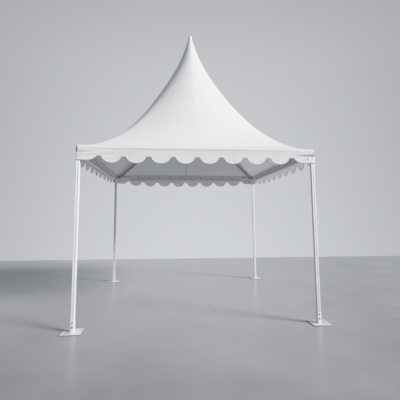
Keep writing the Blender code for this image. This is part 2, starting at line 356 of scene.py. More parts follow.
class Paint(Net):
    """A material's node tree, with the few nodes that the finishes share."""

    def __init__(self, material: Material) -> None:
        """Takes over a material's tree.

        Args:
            material: A new material that uses nodes.
        """
        super().__init__(material.node_tree)
        self.shader = self.tree.nodes["Principled BSDF"]
        self.leave = self.tree.nodes["Material Output"]

    def set(self, **values: object) -> None:
        """Sets or links the shader's inputs by name, with _ for a space."""
        for key, value in values.items():
            self.feed(self.shader.inputs[key.replace("_", " ")], value)

    def object_coords(self) -> NodeSocket:
        """The point's own place in metres."""
        return self.add("ShaderNodeTexCoord").outputs["Object"]

    def uv(self, name: str) -> NodeSocket:
        """The piece's own UV map of that name."""
        return self.add("ShaderNodeUVMap", {"uv_map": name}).outputs["UV"]

    def scaled(self, vector: NodeSocket, scale: tuple[float, float, float]) -> NodeSocket:
        """The coordinates stretched by a Mapping node."""
        return self.add("ShaderNodeMapping", Vector=vector, Scale=scale).outputs[0]

    def noise(self, vector: NodeSocket, scale: float, detail: float = 3.0) -> NodeSocket:
        """A cloudy value around a half."""
        made = self.add("ShaderNodeTexNoise", Vector=vector, Scale=scale, Detail=detail)
        return made.outputs["Fac"]

    def spread(self, value: NodeSocket, low: float, high: float,
               start: float = 0.0, end: float = 1.0) -> NodeSocket:
        """A value mapped so that low becomes start and high becomes end, and held between the two."""
        return self.add("ShaderNodeMapRange", Value=value, From_Min=low, From_Max=high, To_Min=start,
                        To_Max=end).outputs[0]

    def blend(self, share: NodeSocket, first: Sequence[float],
              second: Sequence[float] | NodeSocket) -> NodeSocket:
        """Blends two colours.

        Args:
            share: The second colour's share.
            first: The first colour, or a socket that holds it.
            second: The second colour, or a socket that holds it.

        Returns:
            The blended colour.
        """
        node = self.add("ShaderNodeMix", {"data_type": "RGBA"})
        self.feed(node.inputs[0], share)
        for socket, colour in ((node.inputs[6], first), (node.inputs[7], second)):
            self.feed(socket, colour if isinstance(colour, NodeSocket) else (*colour, 1.0))
        return node.outputs[2]

    def height(self, vector: NodeSocket, low: float, high: float) -> NodeSocket:
        """A value that runs from 0 to 1 between two heights."""
        split = self.add("ShaderNodeSeparateXYZ", Vector=vector)
        return self.spread(split.outputs["Z"], low, high)

    def bump(self, value: NodeSocket, depth: float, strength: float = 1.0,
             under: NodeSocket | None = None) -> NodeSocket:
        """Turns a height into a normal.

        Args:
            value: The height, from 0 to 1.
            depth: The relief's depth in metres.
            strength: How much of it shows.
            under: A normal that this relief lies on.

        Returns:
            The normal.
        """
        node = self.add("ShaderNodeBump", Height=value, Distance=depth, Strength=strength)
        if under is not None:
            self.feed(node.inputs["Normal"], under)
        return node.outputs[0]


@dataclass(frozen=True)
class Finish:
    """A surface finish: a name, a colour and a method that builds its nodes."""

    name: str
    colour: tuple[float, float, float]
    roughness: float = 0.5

    def material(self) -> Material:
        """Returns the finish's material, built at its first use."""
        known = bpy.data.materials.get(self.name)
        if known is not None:
            return known
        material = bpy.data.materials.new(self.name)
        material.use_nodes = True
        paint = Paint(material)
        paint.set(Base_Color=(*self.colour, 1.0), Roughness=self.roughness)
        self.lay(paint)
        return material

    def lay(self, paint: Paint) -> None:
        """Adds the finish's own nodes."""

    def shade(self, factor: float) -> tuple[float, float, float]:
        """The finish's colour made darker or lighter by a factor."""
        return tuple(min(1.0, part * factor) for part in self.colour)

    def uneven(self, paint: Paint, value: NodeSocket, less: float, more: float) -> NodeSocket:
        """The roughness, from less below the finish's own to more above it, as a cloudy value runs."""
        return paint.spread(value, 0.3, 0.7, self.roughness - less, self.roughness + more)


@dataclass(frozen=True)
class CoatedFabric(Finish):
    """Coated polyester sheet: satin, faintly woven, and light shines through it."""

    weave: float = 0.0022            # pitch of the threads under the coating
    glow: float = 0.23               # share of light that goes through
    uv_map: str = "cloth"

    def lay(self, paint: Paint) -> None:
        """Lays a weave under the coating, faint dust in runs, and the light that comes through.

        Args:
            paint: The nodes of the finish's material.
        """
        place = paint.object_coords()
        cloth = paint.uv(self.uv_map)
        runs = paint.noise(paint.scaled(place, (2.2, 2.2, 0.7)), 1.6, 5.0)
        dust = paint.math("MULTIPLY", paint.spread(runs, 0.46, 0.72), 0.5)
        colour = paint.blend(dust, self.colour, self.shade(0.90))
        grain = paint.noise(place, 60.0, 4.0)
        colour = paint.blend(paint.spread(grain, 0.35, 0.75, 0.0, 0.25), colour, self.shade(0.93))
        paint.set(Base_Color=colour, Roughness=paint.spread(runs, 0.3, 0.75, self.roughness - 0.06,
                                                            self.roughness + 0.10))
        threads = paint.scaled(cloth, (1 / self.weave, 1 / self.weave, 1.0))
        warp = paint.add("ShaderNodeTexWave", {"bands_direction": "X"}, Vector=threads, Scale=0.5)
        weft = paint.add("ShaderNodeTexWave", {"bands_direction": "Y"}, Vector=threads, Scale=0.5)
        woven = paint.math("MULTIPLY", warp.outputs["Fac"], weft.outputs["Fac"])
        soft = paint.bump(paint.noise(place, 7.0, 2.0), 0.002, 0.5)
        normal = paint.bump(woven, 0.00012, 0.5, soft)
        paint.set(Normal=normal, Specular_IOR_Level=0.42)
        through = paint.add("ShaderNodeBsdfTranslucent", Color=(*self.shade(0.98), 1.0), Normal=soft)
        mixed = paint.add("ShaderNodeMixShader", Fac=self.glow)
        paint.feed(mixed.inputs[1], paint.shader.outputs[0])
        paint.feed(mixed.inputs[2], through.outputs[0])
        paint.feed(paint.leave.inputs["Surface"], mixed.outputs[0])


@dataclass(frozen=True)
class PowderCoat(Finish):
    """White powder coat on an aluminium extrusion, with scuffs towards the ground."""

    scuff_top: float = 0.55

    def lay(self, paint: Paint) -> None:
        """Lays the coat's fine skin, faint handling marks and a grey foot.

        Args:
            paint: The nodes of the finish's material.
        """
        place = paint.object_coords()
        cloud = paint.noise(place, 5.0, 4.0)
        marks = paint.noise(paint.scaled(place, (38.0, 38.0, 3.0)), 1.0, 6.0)
        low = paint.height(place, self.scuff_top, 0.0)
        worn = paint.math("MULTIPLY", paint.spread(marks, 0.52, 0.70), paint.math("ADD", low, 0.25))
        colour = paint.blend(paint.spread(cloud, 0.35, 0.70, 0.0, 0.6), self.colour, self.shade(0.95))
        colour = paint.blend(worn, colour, self.shade(0.80))
        skin = paint.noise(place, 900.0, 2.0)
        paint.set(Base_Color=colour, Roughness=self.uneven(paint, marks, 0.05, 0.12),
                  Normal=paint.bump(skin, 0.00006, 0.6), Coat_Weight=0.12, Coat_Roughness=0.2)


@dataclass(frozen=True)
class PlatePaint(Finish):
    """Painted steel of the feet, walked on and dusty, with painted shade, near black, on the plates' rims."""

    bare_top: float = 0.0066         # height below which the rims carry painted shade, and over which it fades in
    bare_fade: float = 0.0008

    def lay(self, paint: Paint) -> None:
        """Lays rolled steel's waviness, shoe scuffs, dust and painted shade on the rims.

        Args:
            paint: The nodes of the finish's material.
        """
        place = paint.object_coords()
        cloud = paint.noise(place, 9.0, 6.0)
        scratch = paint.noise(paint.scaled(place, (20.0, 160.0, 40.0)), 1.0, 5.0)
        colour = paint.blend(paint.spread(cloud, 0.38, 0.68), self.colour, self.shade(0.84))
        colour = paint.blend(paint.spread(scratch, 0.60, 0.74, 0.0, 0.7), colour, self.shade(0.70))
        # painted shade: the plates' rims below this height are near black
        painted_rim_shade = paint.height(place, self.bare_top, self.bare_top - self.bare_fade)
        colour = paint.blend(painted_rim_shade, colour, self.shade(0.07))
        relief = paint.bump(paint.noise(place, 320.0, 3.0), 0.00012, 0.6)
        paint.set(Base_Color=colour, Roughness=self.uneven(paint, cloud, 0.08, 0.15), Metallic=0.1,
                  Normal=paint.bump(scratch, 0.0002, 0.4, relief))


@dataclass(frozen=True)
class MillAluminium(Finish):
    """Bare drawn tube, with draw lines along it from its own UV map."""

    def lay(self, paint: Paint) -> None:
        """Lays draw lines along the tube and dull patches from handling.

        Args:
            paint: The nodes of the finish's material.
        """
        place = paint.object_coords()
        along = paint.scaled(paint.uv("wall"), (900.0, 1.5, 1.0))
        lines = paint.noise(along, 1.0, 3.0)
        patches = paint.noise(place, 6.0, 5.0)
        colour = paint.blend(paint.spread(patches, 0.35, 0.7), self.colour, self.shade(0.84))
        colour = paint.blend(paint.spread(lines, 0.35, 0.7, 0.0, 0.5), colour, self.shade(0.88))
        paint.set(Base_Color=colour, Roughness=self.uneven(paint, patches, 0.08, 0.12), Metallic=0.85,
                  Anisotropic=0.3, Normal=paint.bump(lines, 0.00005, 0.5))


@dataclass(frozen=True)
class ZincPlate(Finish):
    """Bright zinc on bolts, washers and eyelets, with a faint spangle."""

    def lay(self, paint: Paint) -> None:
        """Lays the spangle and its uneven gloss.

        Args:
            paint: The nodes of the finish's material.
        """
        place = paint.object_coords()
        cell = paint.add("ShaderNodeTexVoronoi", Vector=place, Scale=420.0)
        shade = paint.spread(cell.outputs["Distance"], 0.0, 0.6)
        colour = paint.blend(shade, self.shade(0.82), self.colour)
        cloud = paint.noise(place, 80.0, 3.0)
        paint.set(Base_Color=colour, Roughness=self.uneven(paint, cloud, 0.08, 0.12), Metallic=0.9,
                  Normal=paint.bump(cloud, 0.0001, 0.5))


@dataclass(frozen=True)
class BraidedRope(Finish):
    """White polyester rope of crossing strands."""

    strands: float = 9.0
    lay_length: float = 0.011

    def lay(self, paint: Paint) -> None:
        """Lays two families of strands that cross round the rope.

        Args:
            paint: The nodes of the finish's material.
        """
        cloth = paint.uv("wall")
        split = paint.add("ShaderNodeSeparateXYZ", Vector=cloth)
        round_it = paint.math("MULTIPLY", split.outputs["X"], self.strands)
        along = paint.math("MULTIPLY", split.outputs["Y"], 1 / self.lay_length)
        crossing = []
        for way in ("ADD", "SUBTRACT"):
            turn = paint.math("MULTIPLY", paint.math(way, round_it, along), 2 * math.pi)
            crossing.append(paint.spread(paint.math("SINE", turn), -1.0, 1.0))
        braid = paint.math("MULTIPLY", crossing[0], crossing[1])
        colour = paint.blend(braid, self.shade(0.72), self.colour)
        fuzz = paint.noise(paint.object_coords(), 700.0, 3.0)
        paint.set(Base_Color=colour, Sheen_Weight=0.3,
                  Normal=paint.bump(fuzz, 0.0001, 0.4, paint.bump(braid, 0.0006, 0.8)))


@dataclass(frozen=True)
class MouldedPlastic(Finish):
    """Moulded plastic of the peak cap, finely grained."""

    def lay(self, paint: Paint) -> None:
        """Lays a fine grain and rain marks that run down.

        Args:
            paint: The nodes of the finish's material.
        """
        place = paint.object_coords()
        runs = paint.noise(paint.scaled(place, (90.0, 90.0, 9.0)), 1.0, 4.0)
        colour = paint.blend(paint.spread(runs, 0.45, 0.7, 0.0, 0.7), self.colour, self.shade(0.88))
        grain = paint.noise(place, 1500.0, 2.0)
        paint.set(Base_Color=colour, Roughness=self.uneven(paint, runs, 0.05, 0.08),
                  Normal=paint.bump(grain, 0.00008, 0.6))


@dataclass(frozen=True)
class Webbing(Finish):
    """Woven strap, ribbed across its length."""

    rib: float = 0.0022

    def lay(self, paint: Paint) -> None:
        """Lays the ribs and a little dust.

        Args:
            paint: The nodes of the finish's material.
        """
        ribs = paint.add("ShaderNodeTexWave", {"bands_direction": "X"}, Scale=0.5,
                         Vector=paint.scaled(paint.uv("cloth"), (1 / self.rib, 1 / self.rib, 1.0)))
        dust = paint.noise(paint.object_coords(), 60.0, 4.0)
        colour = paint.blend(ribs.outputs["Fac"], self.shade(0.75), self.colour)
        paint.set(Base_Color=paint.blend(paint.spread(dust, 0.4, 0.7, 0.0, 0.5), colour, self.shade(1.5)),
                  Normal=paint.bump(ribs.outputs["Fac"], 0.0003, 0.7))


@dataclass(frozen=True)
class StudioFloor(Finish):
    """Pale polished floor with painted light: painted shade that darkens it towards the camera's side, and a
    painted pool of light that fades to both sides.
    """

    near: float = -3.2               # range along Y of the painted light falloff, its painted shade at the near end and its curve
    far: float = 4.6
    near_shade: float = 0.15
    curve: float = 0.28
    darkest: float = 0.42            # where the painted shade towards the camera's side ends
    pool_x: float = 0.30             # middle of the painted pool of light, and the point in front that it widens from
    pool_from: float = 6.5
    pool_fall: float = 1.5           # how fast the painted pool of light darkens to both sides, and the most that it does
    pool_most: float = 0.27

    def lay(self, paint: Paint) -> None:
        """Lays a painted falloff of light towards the camera's side, a painted pool of light, a faint cloud
        and a low gloss.

        Args:
            paint: The nodes of the finish's material.
        """
        place = paint.object_coords()
        split = paint.add("ShaderNodeSeparateXYZ", Vector=place)
        # painted light falloff: the floor is darker towards the camera's side
        depth = paint.math("POWER", paint.spread(split.outputs["Y"], self.near, self.far), self.curve)
        depth = paint.math("MAXIMUM", depth, self.darkest)
        # painted pool of light: the floor is darker towards both sides
        aside = paint.math("DIVIDE", paint.math("SUBTRACT", split.outputs["X"], self.pool_x),
                           paint.math("ADD", split.outputs["Y"], self.pool_from))
        painted_falloff = paint.math("MULTIPLY", paint.math("MULTIPLY", aside, aside), self.pool_fall)
        colour = paint.blend(depth, self.shade(self.near_shade), self.colour)
        colour = paint.blend(paint.math("MINIMUM", painted_falloff, self.pool_most), colour, self.shade(0.0))
        cloud = paint.noise(place, 0.9, 5.0)
        colour = paint.blend(paint.spread(cloud, 0.3, 0.7, 0.0, 0.35), colour, self.shade(0.93))
        paint.set(Base_Color=colour, Roughness=self.uneven(paint, cloud, 0.03, 0.05),
                  Specular_IOR_Level=0.5)


COVER_FABRIC = CoatedFabric("coated_fabric", (0.945, 0.952, 0.96), 0.46)
BINDING_TAPE = CoatedFabric("binding_tape", (0.96, 0.965, 0.97), 0.40, weave=0.0012, glow=0.27)
VALANCE_FABRIC = CoatedFabric("valance_fabric", (0.945, 0.952, 0.96), 0.46, glow=0.31)
# darker copy of the cover's cloth for the roof's inner faces: painted shade under the roof
SHADED_INNER_FABRIC = CoatedFabric("inner_fabric", (0.87, 0.877, 0.886), 0.52, glow=0.38)
# darker copy of the cover's cloth for the inner hems: painted shade
SHADED_HEM_FABRIC = CoatedFabric("hem_fabric", (0.79, 0.80, 0.81), 0.5, glow=0.15)
# grey tape under the centre seams: its tone is painted shade where the doubled cloth holds back light
SHADED_SEAM_TAPE = CoatedFabric("seam_tape", (0.66, 0.67, 0.68), 0.55, weave=0.0016, glow=0.05)
# grey webbing of the corner straps and hem tapes: partly real straps, its dark grey painted shade in the
# slots and under the hems
SHADE_STRAP = Webbing("tension_webbing", (0.33, 0.34, 0.35), 0.8)
# near-black webbing of the patches behind the short ends: painted shade in the corner gaps
SHADE_PATCH_WEBBING = Webbing("dark_webbing", (0.11, 0.113, 0.117), 0.8)
FRAME_COAT = PowderCoat("powder_coat", (0.82, 0.825, 0.83), 0.36)
PLATE_COAT = PlatePaint("plate_paint_coat", (0.80, 0.81, 0.82), 0.42)
# aluminium of the struts, crown and pole, darker than bare metal: partly painted shade under the roof
SHADED_DRAWN_TUBE = MillAluminium("drawn_aluminium", (0.36, 0.367, 0.38), 0.40)
ZINC = ZincPlate("bright_zinc", (0.80, 0.81, 0.82), 0.34)
# near-black plating on eyelets and bolts: partly a dark finish, partly painted shade for their dark holes
DARK_ZINC_AND_SHADE = ZincPlate("dull_nickel", (0.10, 0.10, 0.105), 0.45)
ROPE = BraidedRope("braided_rope", (0.84, 0.84, 0.82), 0.75)
BUTTON_MOULDING = MouldedPlastic("button_moulding", (0.95, 0.955, 0.96), 0.25)
CAP_MOULDING = MouldedPlastic("cap_moulding", (0.85, 0.86, 0.87), 0.38)
FLOOR = StudioFloor("studio_floor", (0.624, 0.636, 0.649), 0.24)


def shown(name: str, mesh: Mesh, finish: Finish,
          crease: float | None = SHARP_FROM) -> Object:
    """Puts a finished mesh in the scene as a piece of the tent.

    Args:
        name: The piece's name.
        mesh: Its mesh, already in place.
        finish: Its finish.
        crease: The angle in degrees past which an edge stays sharp, or None for a smooth piece.

    Returns:
        The piece, which rides on the tent's body.
    """
    mesh.name = name
    obj = bpy.data.objects.new(name, mesh)
    bpy.context.scene.collection.objects.link(obj)
    mesh.materials.clear()
    mesh.materials.append(finish.material())
    mesh.shade_smooth()
    if crease is not None:
        mesh.set_sharp_from_angle(angle=math.radians(crease))
    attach(obj, BODY)
    return obj


def stood(place: Station, name: str, node: str, mesh: Mesh, finish: Finish) -> Object:
    """Sets a piece at one of four like places, where it stands for the frame's node.

    Args:
        place: The corner or side.
        name: The piece's name, before the place's.
        node: The node's name, before the place's.
        mesh: The piece at the first place, which is copied.
        finish: Its finish.

    Returns:
        The piece.
    """
    piece = shown(f"{name}_{place.tag}", moved(mesh.copy(), place.turn), finish)
    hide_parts(f"{node}_{place.tag}")
    return piece


def lay_cloth(mesh: Mesh) -> Mesh:
    """Stores each point's place in metres, along the side and up, which a weave follows.

    Args:
        mesh: A piece of cloth, in place.

    Returns:
        The same mesh.
    """
    name = COVER_FABRIC.uv_map
    cloth = mesh.uv_layers.get(name) or mesh.uv_layers.new(name=name)
    for loop in mesh.loops:
        spot = mesh.vertices[loop.vertex_index].co
        cloth.data[loop.index].uv = (spot.x + spot.y, spot.z)
    return mesh


def applied(obj: Object) -> None:
    """Replaces an object's mesh by its evaluated one and drops the modifiers.

    Args:
        obj: The object.
    """
    mesh = evaluated_mesh(obj)
    old = obj.data
    obj.modifiers.clear()
    obj.data = mesh
    bpy.data.meshes.remove(old)


def solidified(obj: Object, thickness: float, even: bool = True) -> None:
    """Gives an open sheet its thickness inwards.

    Args:
        obj: The sheet.
        thickness: Its thickness.
        even: Whether it is as thick at its creases.
    """
    wall = obj.modifiers.new("wall", "SOLIDIFY")
    wall.thickness = thickness
    wall.offset = -1.0
    wall.use_rim = True
    wall.use_even_offset = even
    applied(obj)


def arc_corner(before: Vector, at: Vector, after: Vector, radius: float, steps: int) -> list[Vector]:
    """The points of a fillet that replaces a corner of an outline.

    Args:
        before: The outline's point before the corner.
        at: The corner.
        after: The outline's point after the corner.
        radius: The fillet's radius.
        steps: The number of its segments.

    Returns:
        The fillet's points, from the first side to the second.
    """
    first, second = (before - at).normalized(), (after - at).normalized()
    half = math.acos(max(-1.0, min(1.0, first.dot(second)))) / 2
    back = min(radius / math.tan(half), (before - at).length / 2, (after - at).length / 2)
    radius = back * math.tan(half)
    start, end = at + first * back, at + second * back
    centre = at + (first + second).normalized() * (radius / math.sin(half))
    made = []
    for step in range(steps + 1):
        point = start.lerp(end, step / steps) - centre
        made.append(centre + point.normalized() * radius)
    return made


def filleted(points: Sequence[Point], radii: Sequence[float], steps: int = 4) -> list[Point]:
    """Rounds an outline's corners.

    Args:
        points: The outline.
        radii: The fillet's radius at each corner.
        steps: The number of each fillet's segments.

    Returns:
        The rounded outline.
    """
    spots = [Vector(point) for point in points]
    made = []
    for index, (at, radius) in enumerate(zip(spots, radii)):
        after = spots[(index + 1) % len(spots)]
        made += [tuple(p) for p in arc_corner(spots[index - 1], at, after, radius, steps)]
    return made


def rounded_square(half: float, radius: float, steps: int = 4) -> list[Point]:
    """The outline of a square about the origin with rounded corners."""
    return filleted([(-half, -half), (half, -half), (half, half), (-half, half)], [radius] * 4, steps)


def circle(x: float, y: float, radius: float, sides: int = 32) -> list[Point]:
    """The points of a circle."""
    turns = [2 * math.pi * i / sides for i in range(sides)]
    return [(x + radius * math.cos(a), y + radius * math.sin(a)) for a in turns]


def slab(loops: Sequence[Sequence[Point]], low: float, high: float, edge: float = 0.0006) -> Mesh:
    """A flat outline with holes, made solid between two heights, with its rims eased.

    Args:
        loops: The outline, and then its holes.
        low: The lower face's height.
        high: The upper face's height.
        edge: The width of the eased rims.

    Returns:
        A closed mesh.
    """
    curve = bpy.data.curves.new("slab", "CURVE")
    curve.dimensions = "2D"
    curve.fill_mode = "BOTH"
    curve.extrude = (high - low) / 2
    for loop in loops:
        spline = curve.splines.new("POLY")
        spline.points.add(len(loop) - 1)
        for point, (x, y) in zip(spline.points, loop):
            point.co = (x, y, 0, 1)
        spline.use_cyclic_u = True
    obj = bpy.data.objects.new("slab", curve)
    bpy.context.scene.collection.objects.link(obj)
    flat = evaluated_mesh(obj)
    bpy.data.objects.remove(obj)
    bpy.data.curves.remove(curve)
    shape = bmesh.new()
    shape.from_mesh(flat)
    bpy.data.meshes.remove(flat)
    bmesh.ops.remove_doubles(shape, verts=shape.verts, dist=1e-5)
    bmesh.ops.recalc_face_normals(shape, faces=shape.faces)
    bmesh.ops.dissolve_limit(shape, angle_limit=math.radians(1), verts=shape.verts, edges=shape.edges)
    bmesh.ops.translate(shape, verts=shape.verts, vec=(0, 0, (low + high) / 2))
    if edge > 0:
        rims = [e for e in shape.edges if len(e.link_faces) == 2 and e.calc_face_angle(0) > math.radians(60)
                and abs(e.verts[0].co.z - e.verts[1].co.z) < 1e-6]
        bmesh.ops.bevel(shape, geom=rims, offset=edge, segments=2, profile=0.5, affect="EDGES")
    return mesh_of(shape)


def mesh_of(shape: BMesh) -> Mesh:
    """Turns a bmesh into a mesh.

    Args:
        shape: The bmesh, which is freed.

    Returns:
        The mesh.
    """
    mesh = bpy.data.meshes.new("piece")
    shape.to_mesh(mesh)
    shape.free()
    return mesh


def moved(mesh: Mesh, place: Matrix) -> Mesh:
    """A mesh after its points are moved by a matrix."""
    mesh.transform(place)
    return mesh


def joined(meshes: Iterable[Mesh], turns: Iterable[Matrix] = (Matrix(),)) -> Mesh:
    """One mesh of several, each set at every turn.

    Args:
        meshes: The meshes, which are removed.
        turns: The places where the whole group stands.

    Returns:
        The joined mesh.
    """
    meshes = list(meshes)
    shape = bmesh.new()
    for turn in turns:
        for mesh in meshes:
            copy = mesh.copy()
            copy.transform(turn)
            shape.from_mesh(copy)
            bpy.data.meshes.remove(copy)
    for mesh in meshes:
        bpy.data.meshes.remove(mesh)
    return mesh_of(shape)


def skinned(rings: Sequence[Sequence[Sequence[float]]], lengths: Sequence[float], closed: bool = False,
            capped: bool = False) -> Mesh:
    """Joins rings of points, with a UV map of the share round them and the metres along them.

    Args:
        rings: The rings, each of as many points, or of one at a pole.
        lengths: How far along each ring is, and the first one again after the last.
        closed: Whether the last ring joins the first.
        capped: Whether the first and last ring get a face.

    Returns:
        The mesh, with faces that point outwards.
    """
    shape = bmesh.new()
    wall = shape.loops.layers.uv.new("wall")
    sides = max(len(ring) for ring in rings)
    verts = [[shape.verts.new(spot) for spot in ring] for ring in rings]
    verts = [ring * sides if len(ring) == 1 else ring for ring in verts]
    for row in range(len(verts) if closed else len(verts) - 1):
        low, high = verts[row], verts[(row + 1) % len(verts)]
        for i in range(sides):
            j = (i + 1) % sides
            corners = {}
            for vert, around, down in ((low[i], i, row), (low[j], i + 1, row), (high[j], i + 1, row + 1),
                                       (high[i], i, row + 1)):
                corners.setdefault(vert, (around / sides, lengths[down]))
            if len(corners) > 2:
                face = shape.faces.new(list(corners))
                for loop, spot in zip(face.loops, corners.values()):
                    loop[wall].uv = spot
    if capped:
        shape.faces.new(list(reversed(verts[0])))
        shape.faces.new(verts[-1])
    bmesh.ops.recalc_face_normals(shape, faces=shape.faces)
    return mesh_of(shape)


def turned(profile: Sequence[Point], sides: int = 32, place: Matrix = Matrix()) -> Mesh:
    """A turned solid about Z, closed at its poles.

    Args:
        profile: Points of (radius, height) from the lower pole to the upper one, or a closed ring
            of them where its first and last points are the same.
        sides: The number of sides round it.
        place: Where it goes.

    Returns:
        The solid.
    """
    closed = profile[0] == profile[-1]
    path = list(profile[:-1] if closed else profile)
    lengths = [0.0]
    for low, high in zip(path, path[1:] + path[:1]):
        lengths.append(lengths[-1] + math.dist(low, high))
    rings = [[(x, y, height) for x, y in circle(0, 0, radius, sides if radius > 1e-7 else 1)]
             for radius, height in path]
    return moved(skinned(rings, lengths, closed), place)


def along(start: Vector, end: Vector) -> Matrix:
    """The place of a piece made up +Z from the origin, so that it runs from start towards end."""
    turn = (end - start).to_track_quat("Z", "Y").to_matrix().to_4x4()
    return Matrix.Translation(start) @ turn


def rod(start: Vector, end: Vector, radius: float, sides: int = 32, ease: float = 0.0008) -> Mesh:
    """Makes a round bar with eased rims.

    Args:
        start: One end.
        end: The other.
        radius: The bar's radius.
        sides: The number of sides round it.
        ease: The width of the eased rims.

    Returns:
        The bar.
    """
    length = (end - start).length
    profile = [(0, 0), (radius - ease, 0), (radius - ease * 0.3, ease * 0.3), (radius, ease)]
    profile += [(r, length - z) for r, z in reversed(profile)]
    return turned(profile, sides, along(start, end))


def pipe(start: Vector, end: Vector, outer: float, inner: float, sides: int = 32) -> Mesh:
    """Makes an open tube with eased rims.

    Args:
        start: One end.
        end: The other.
        outer: Its outer radius.
        inner: Its inner radius.
        sides: The number of sides round it.

    Returns:
        The tube.
    """
    length, ease = (end - start).length, min(0.0006, (outer - inner) / 3)
    profile = [(inner, ease), (inner + ease, 0), (outer - ease, 0), (outer, ease), (outer, length - ease),
               (outer - ease, length), (inner + ease, length), (inner, length - ease), (inner, ease)]
    return turned(profile, sides, along(start, end))


def block(low: Sequence[float], high: Sequence[float], ease: float) -> Mesh:
    """Makes a bar with rounded edges.

    Args:
        low: Its lowest corner.
        high: Its highest corner.
        ease: The width of its rounded edges.

    Returns:
        The bar.
    """
    low, high = Vector(low), Vector(high)
    shape = bmesh.new()
    bmesh.ops.create_cube(shape, size=1.0, matrix=Matrix.Translation((low + high) / 2)
                          @ Matrix.Diagonal((*(high - low), 1.0)))
    bmesh.ops.bevel(shape, geom=list(shape.edges), offset=ease, segments=3, profile=0.5, affect="EDGES")
    return mesh_of(shape)


def sweep_mesh(points: Sequence[Vector], facings: Sequence[Vector], closed: bool = False,
               loose: bool = False) -> Mesh:
    """A path of edges, or loose points, that carry the direction that what is set on them faces.

    Args:
        points: The path's points.
        facings: The direction at each point.
        closed: Whether the last point joins the first.
        loose: Whether the points stay apart.

    Returns:
        The path.
    """
    count = len(points)
    edges = [] if loose else [(i, (i + 1) % count) for i in range(count if closed else count - 1)]
    mesh = bpy.data.meshes.new("path")
    mesh.from_pydata([tuple(p) for p in points], edges, [])
    facing = mesh.attributes.new("facing", "FLOAT_VECTOR", "POINT")
    for item, value in zip(facing.data, facings):
        item.vector = value
    return mesh


def flat_strip_tree(finish: Finish) -> Tree:
    """A tree that sweeps a flat strip along a path.

    Its inputs are Thickness, along the path's facing, and Width.

    Args:
        finish: The strip's finish.

    Returns:
        The tree.
    """
    tree = Tree("flat_strip", takes_geometry=True)
    thickness, width = tree.size("Thickness"), tree.size("Width")
    path = tree.add("GeometryNodeMeshToCurve", Mesh=tree.entry.outputs["Geometry"])
    lined = tree.add("GeometryNodeSetCurveNormal", {"mode": "FREE"}, Curve=path.outputs[0],
                     Normal=tree.facing())
    profile = tree.add("GeometryNodeCurvePrimitiveQuadrilateral", Width=thickness, Height=width)
    eased = tree.add("GeometryNodeFilletCurve", {"mode": "POLY"}, Curve=profile.outputs[0], Count=2,
                     Radius=thickness * 0.4, Limit_Radius=True)
    swept = tree.add("GeometryNodeCurveToMesh", Curve=lined.outputs[0], Profile_Curve=eased.outputs[0],
                     Fill_Caps=True)
    tree.close(swept.outputs[0], finish.material())
    return tree


def hex_bolt_tree(finish: Finish) -> Tree:
    """A tree that sets a hexagon bolt head with its washer on each point, along the point's facing.

    Its inputs are Across_Flats, Head_Height, Washer_Radius and Washer_Thickness.

    Args:
        finish: The bolts' finish.

    Returns:
        The tree.
    """
    tree = Tree("hexagon_bolts", takes_geometry=True)
    flats, head = tree.size("Across_Flats"), tree.size("Head_Height")
    washer_r, washer_t = tree.size("Washer_Radius"), tree.size("Washer_Thickness")
    corner_r = flats / math.sqrt(3)
    whole = tree.add("GeometryNodeJoinGeometry")
    for sides, low_r, high_r, depth, level in ((24, washer_r, washer_r * 0.97, washer_t, 0.0),
                                               (6, corner_r, corner_r, head * 0.82, washer_t),
                                               (24, flats * 0.485, flats * 0.40, head * 0.18,
                                                washer_t + head * 0.82)):
        part = tree.add("GeometryNodeMeshCone", {"fill_type": "NGON"}, Vertices=sides, Side_Segments=1,
                        Radius_Top=high_r, Radius_Bottom=low_r, Depth=depth)
        spot = tree.add("GeometryNodeTransform", Geometry=part.outputs["Mesh"],
                        Translation=tree.vector(0.0, 0.0, level))
        tree.feed(whole.inputs[0], spot.outputs[0])
    tree.close(tree.set_on_points(whole.outputs[0]), finish.material())
    return tree


def weld_bead_tree(finish: Finish) -> Tree:
    """A tree that lays overlapping ripples of weld along a path.

    Its inputs are Pitch, between ripples, and Radius, of each.

    Args:
        finish: The weld's finish.

    Returns:
        The tree.
    """
    tree = Tree("weld_bead", takes_geometry=True)
    pitch, radius = tree.size("Pitch"), tree.size("Radius")
    path = tree.add("GeometryNodeMeshToCurve", Mesh=tree.entry.outputs["Geometry"])
    points = tree.add("GeometryNodeCurveToPoints", {"mode": "LENGTH"}, Curve=path.outputs[0], Length=pitch)
    ripple = tree.add("GeometryNodeMeshUVSphere", Segments=8, Rings=6, Radius=radius)
    spread = tree.add("GeometryNodeInstanceOnPoints", Points=points.outputs["Points"],
                      Instance=ripple.outputs["Mesh"], Rotation=points.outputs["Rotation"],
                      Scale=(1.0, 1.0, 0.7))
    tree.close(spread.outputs[0], finish.material())
    return tree


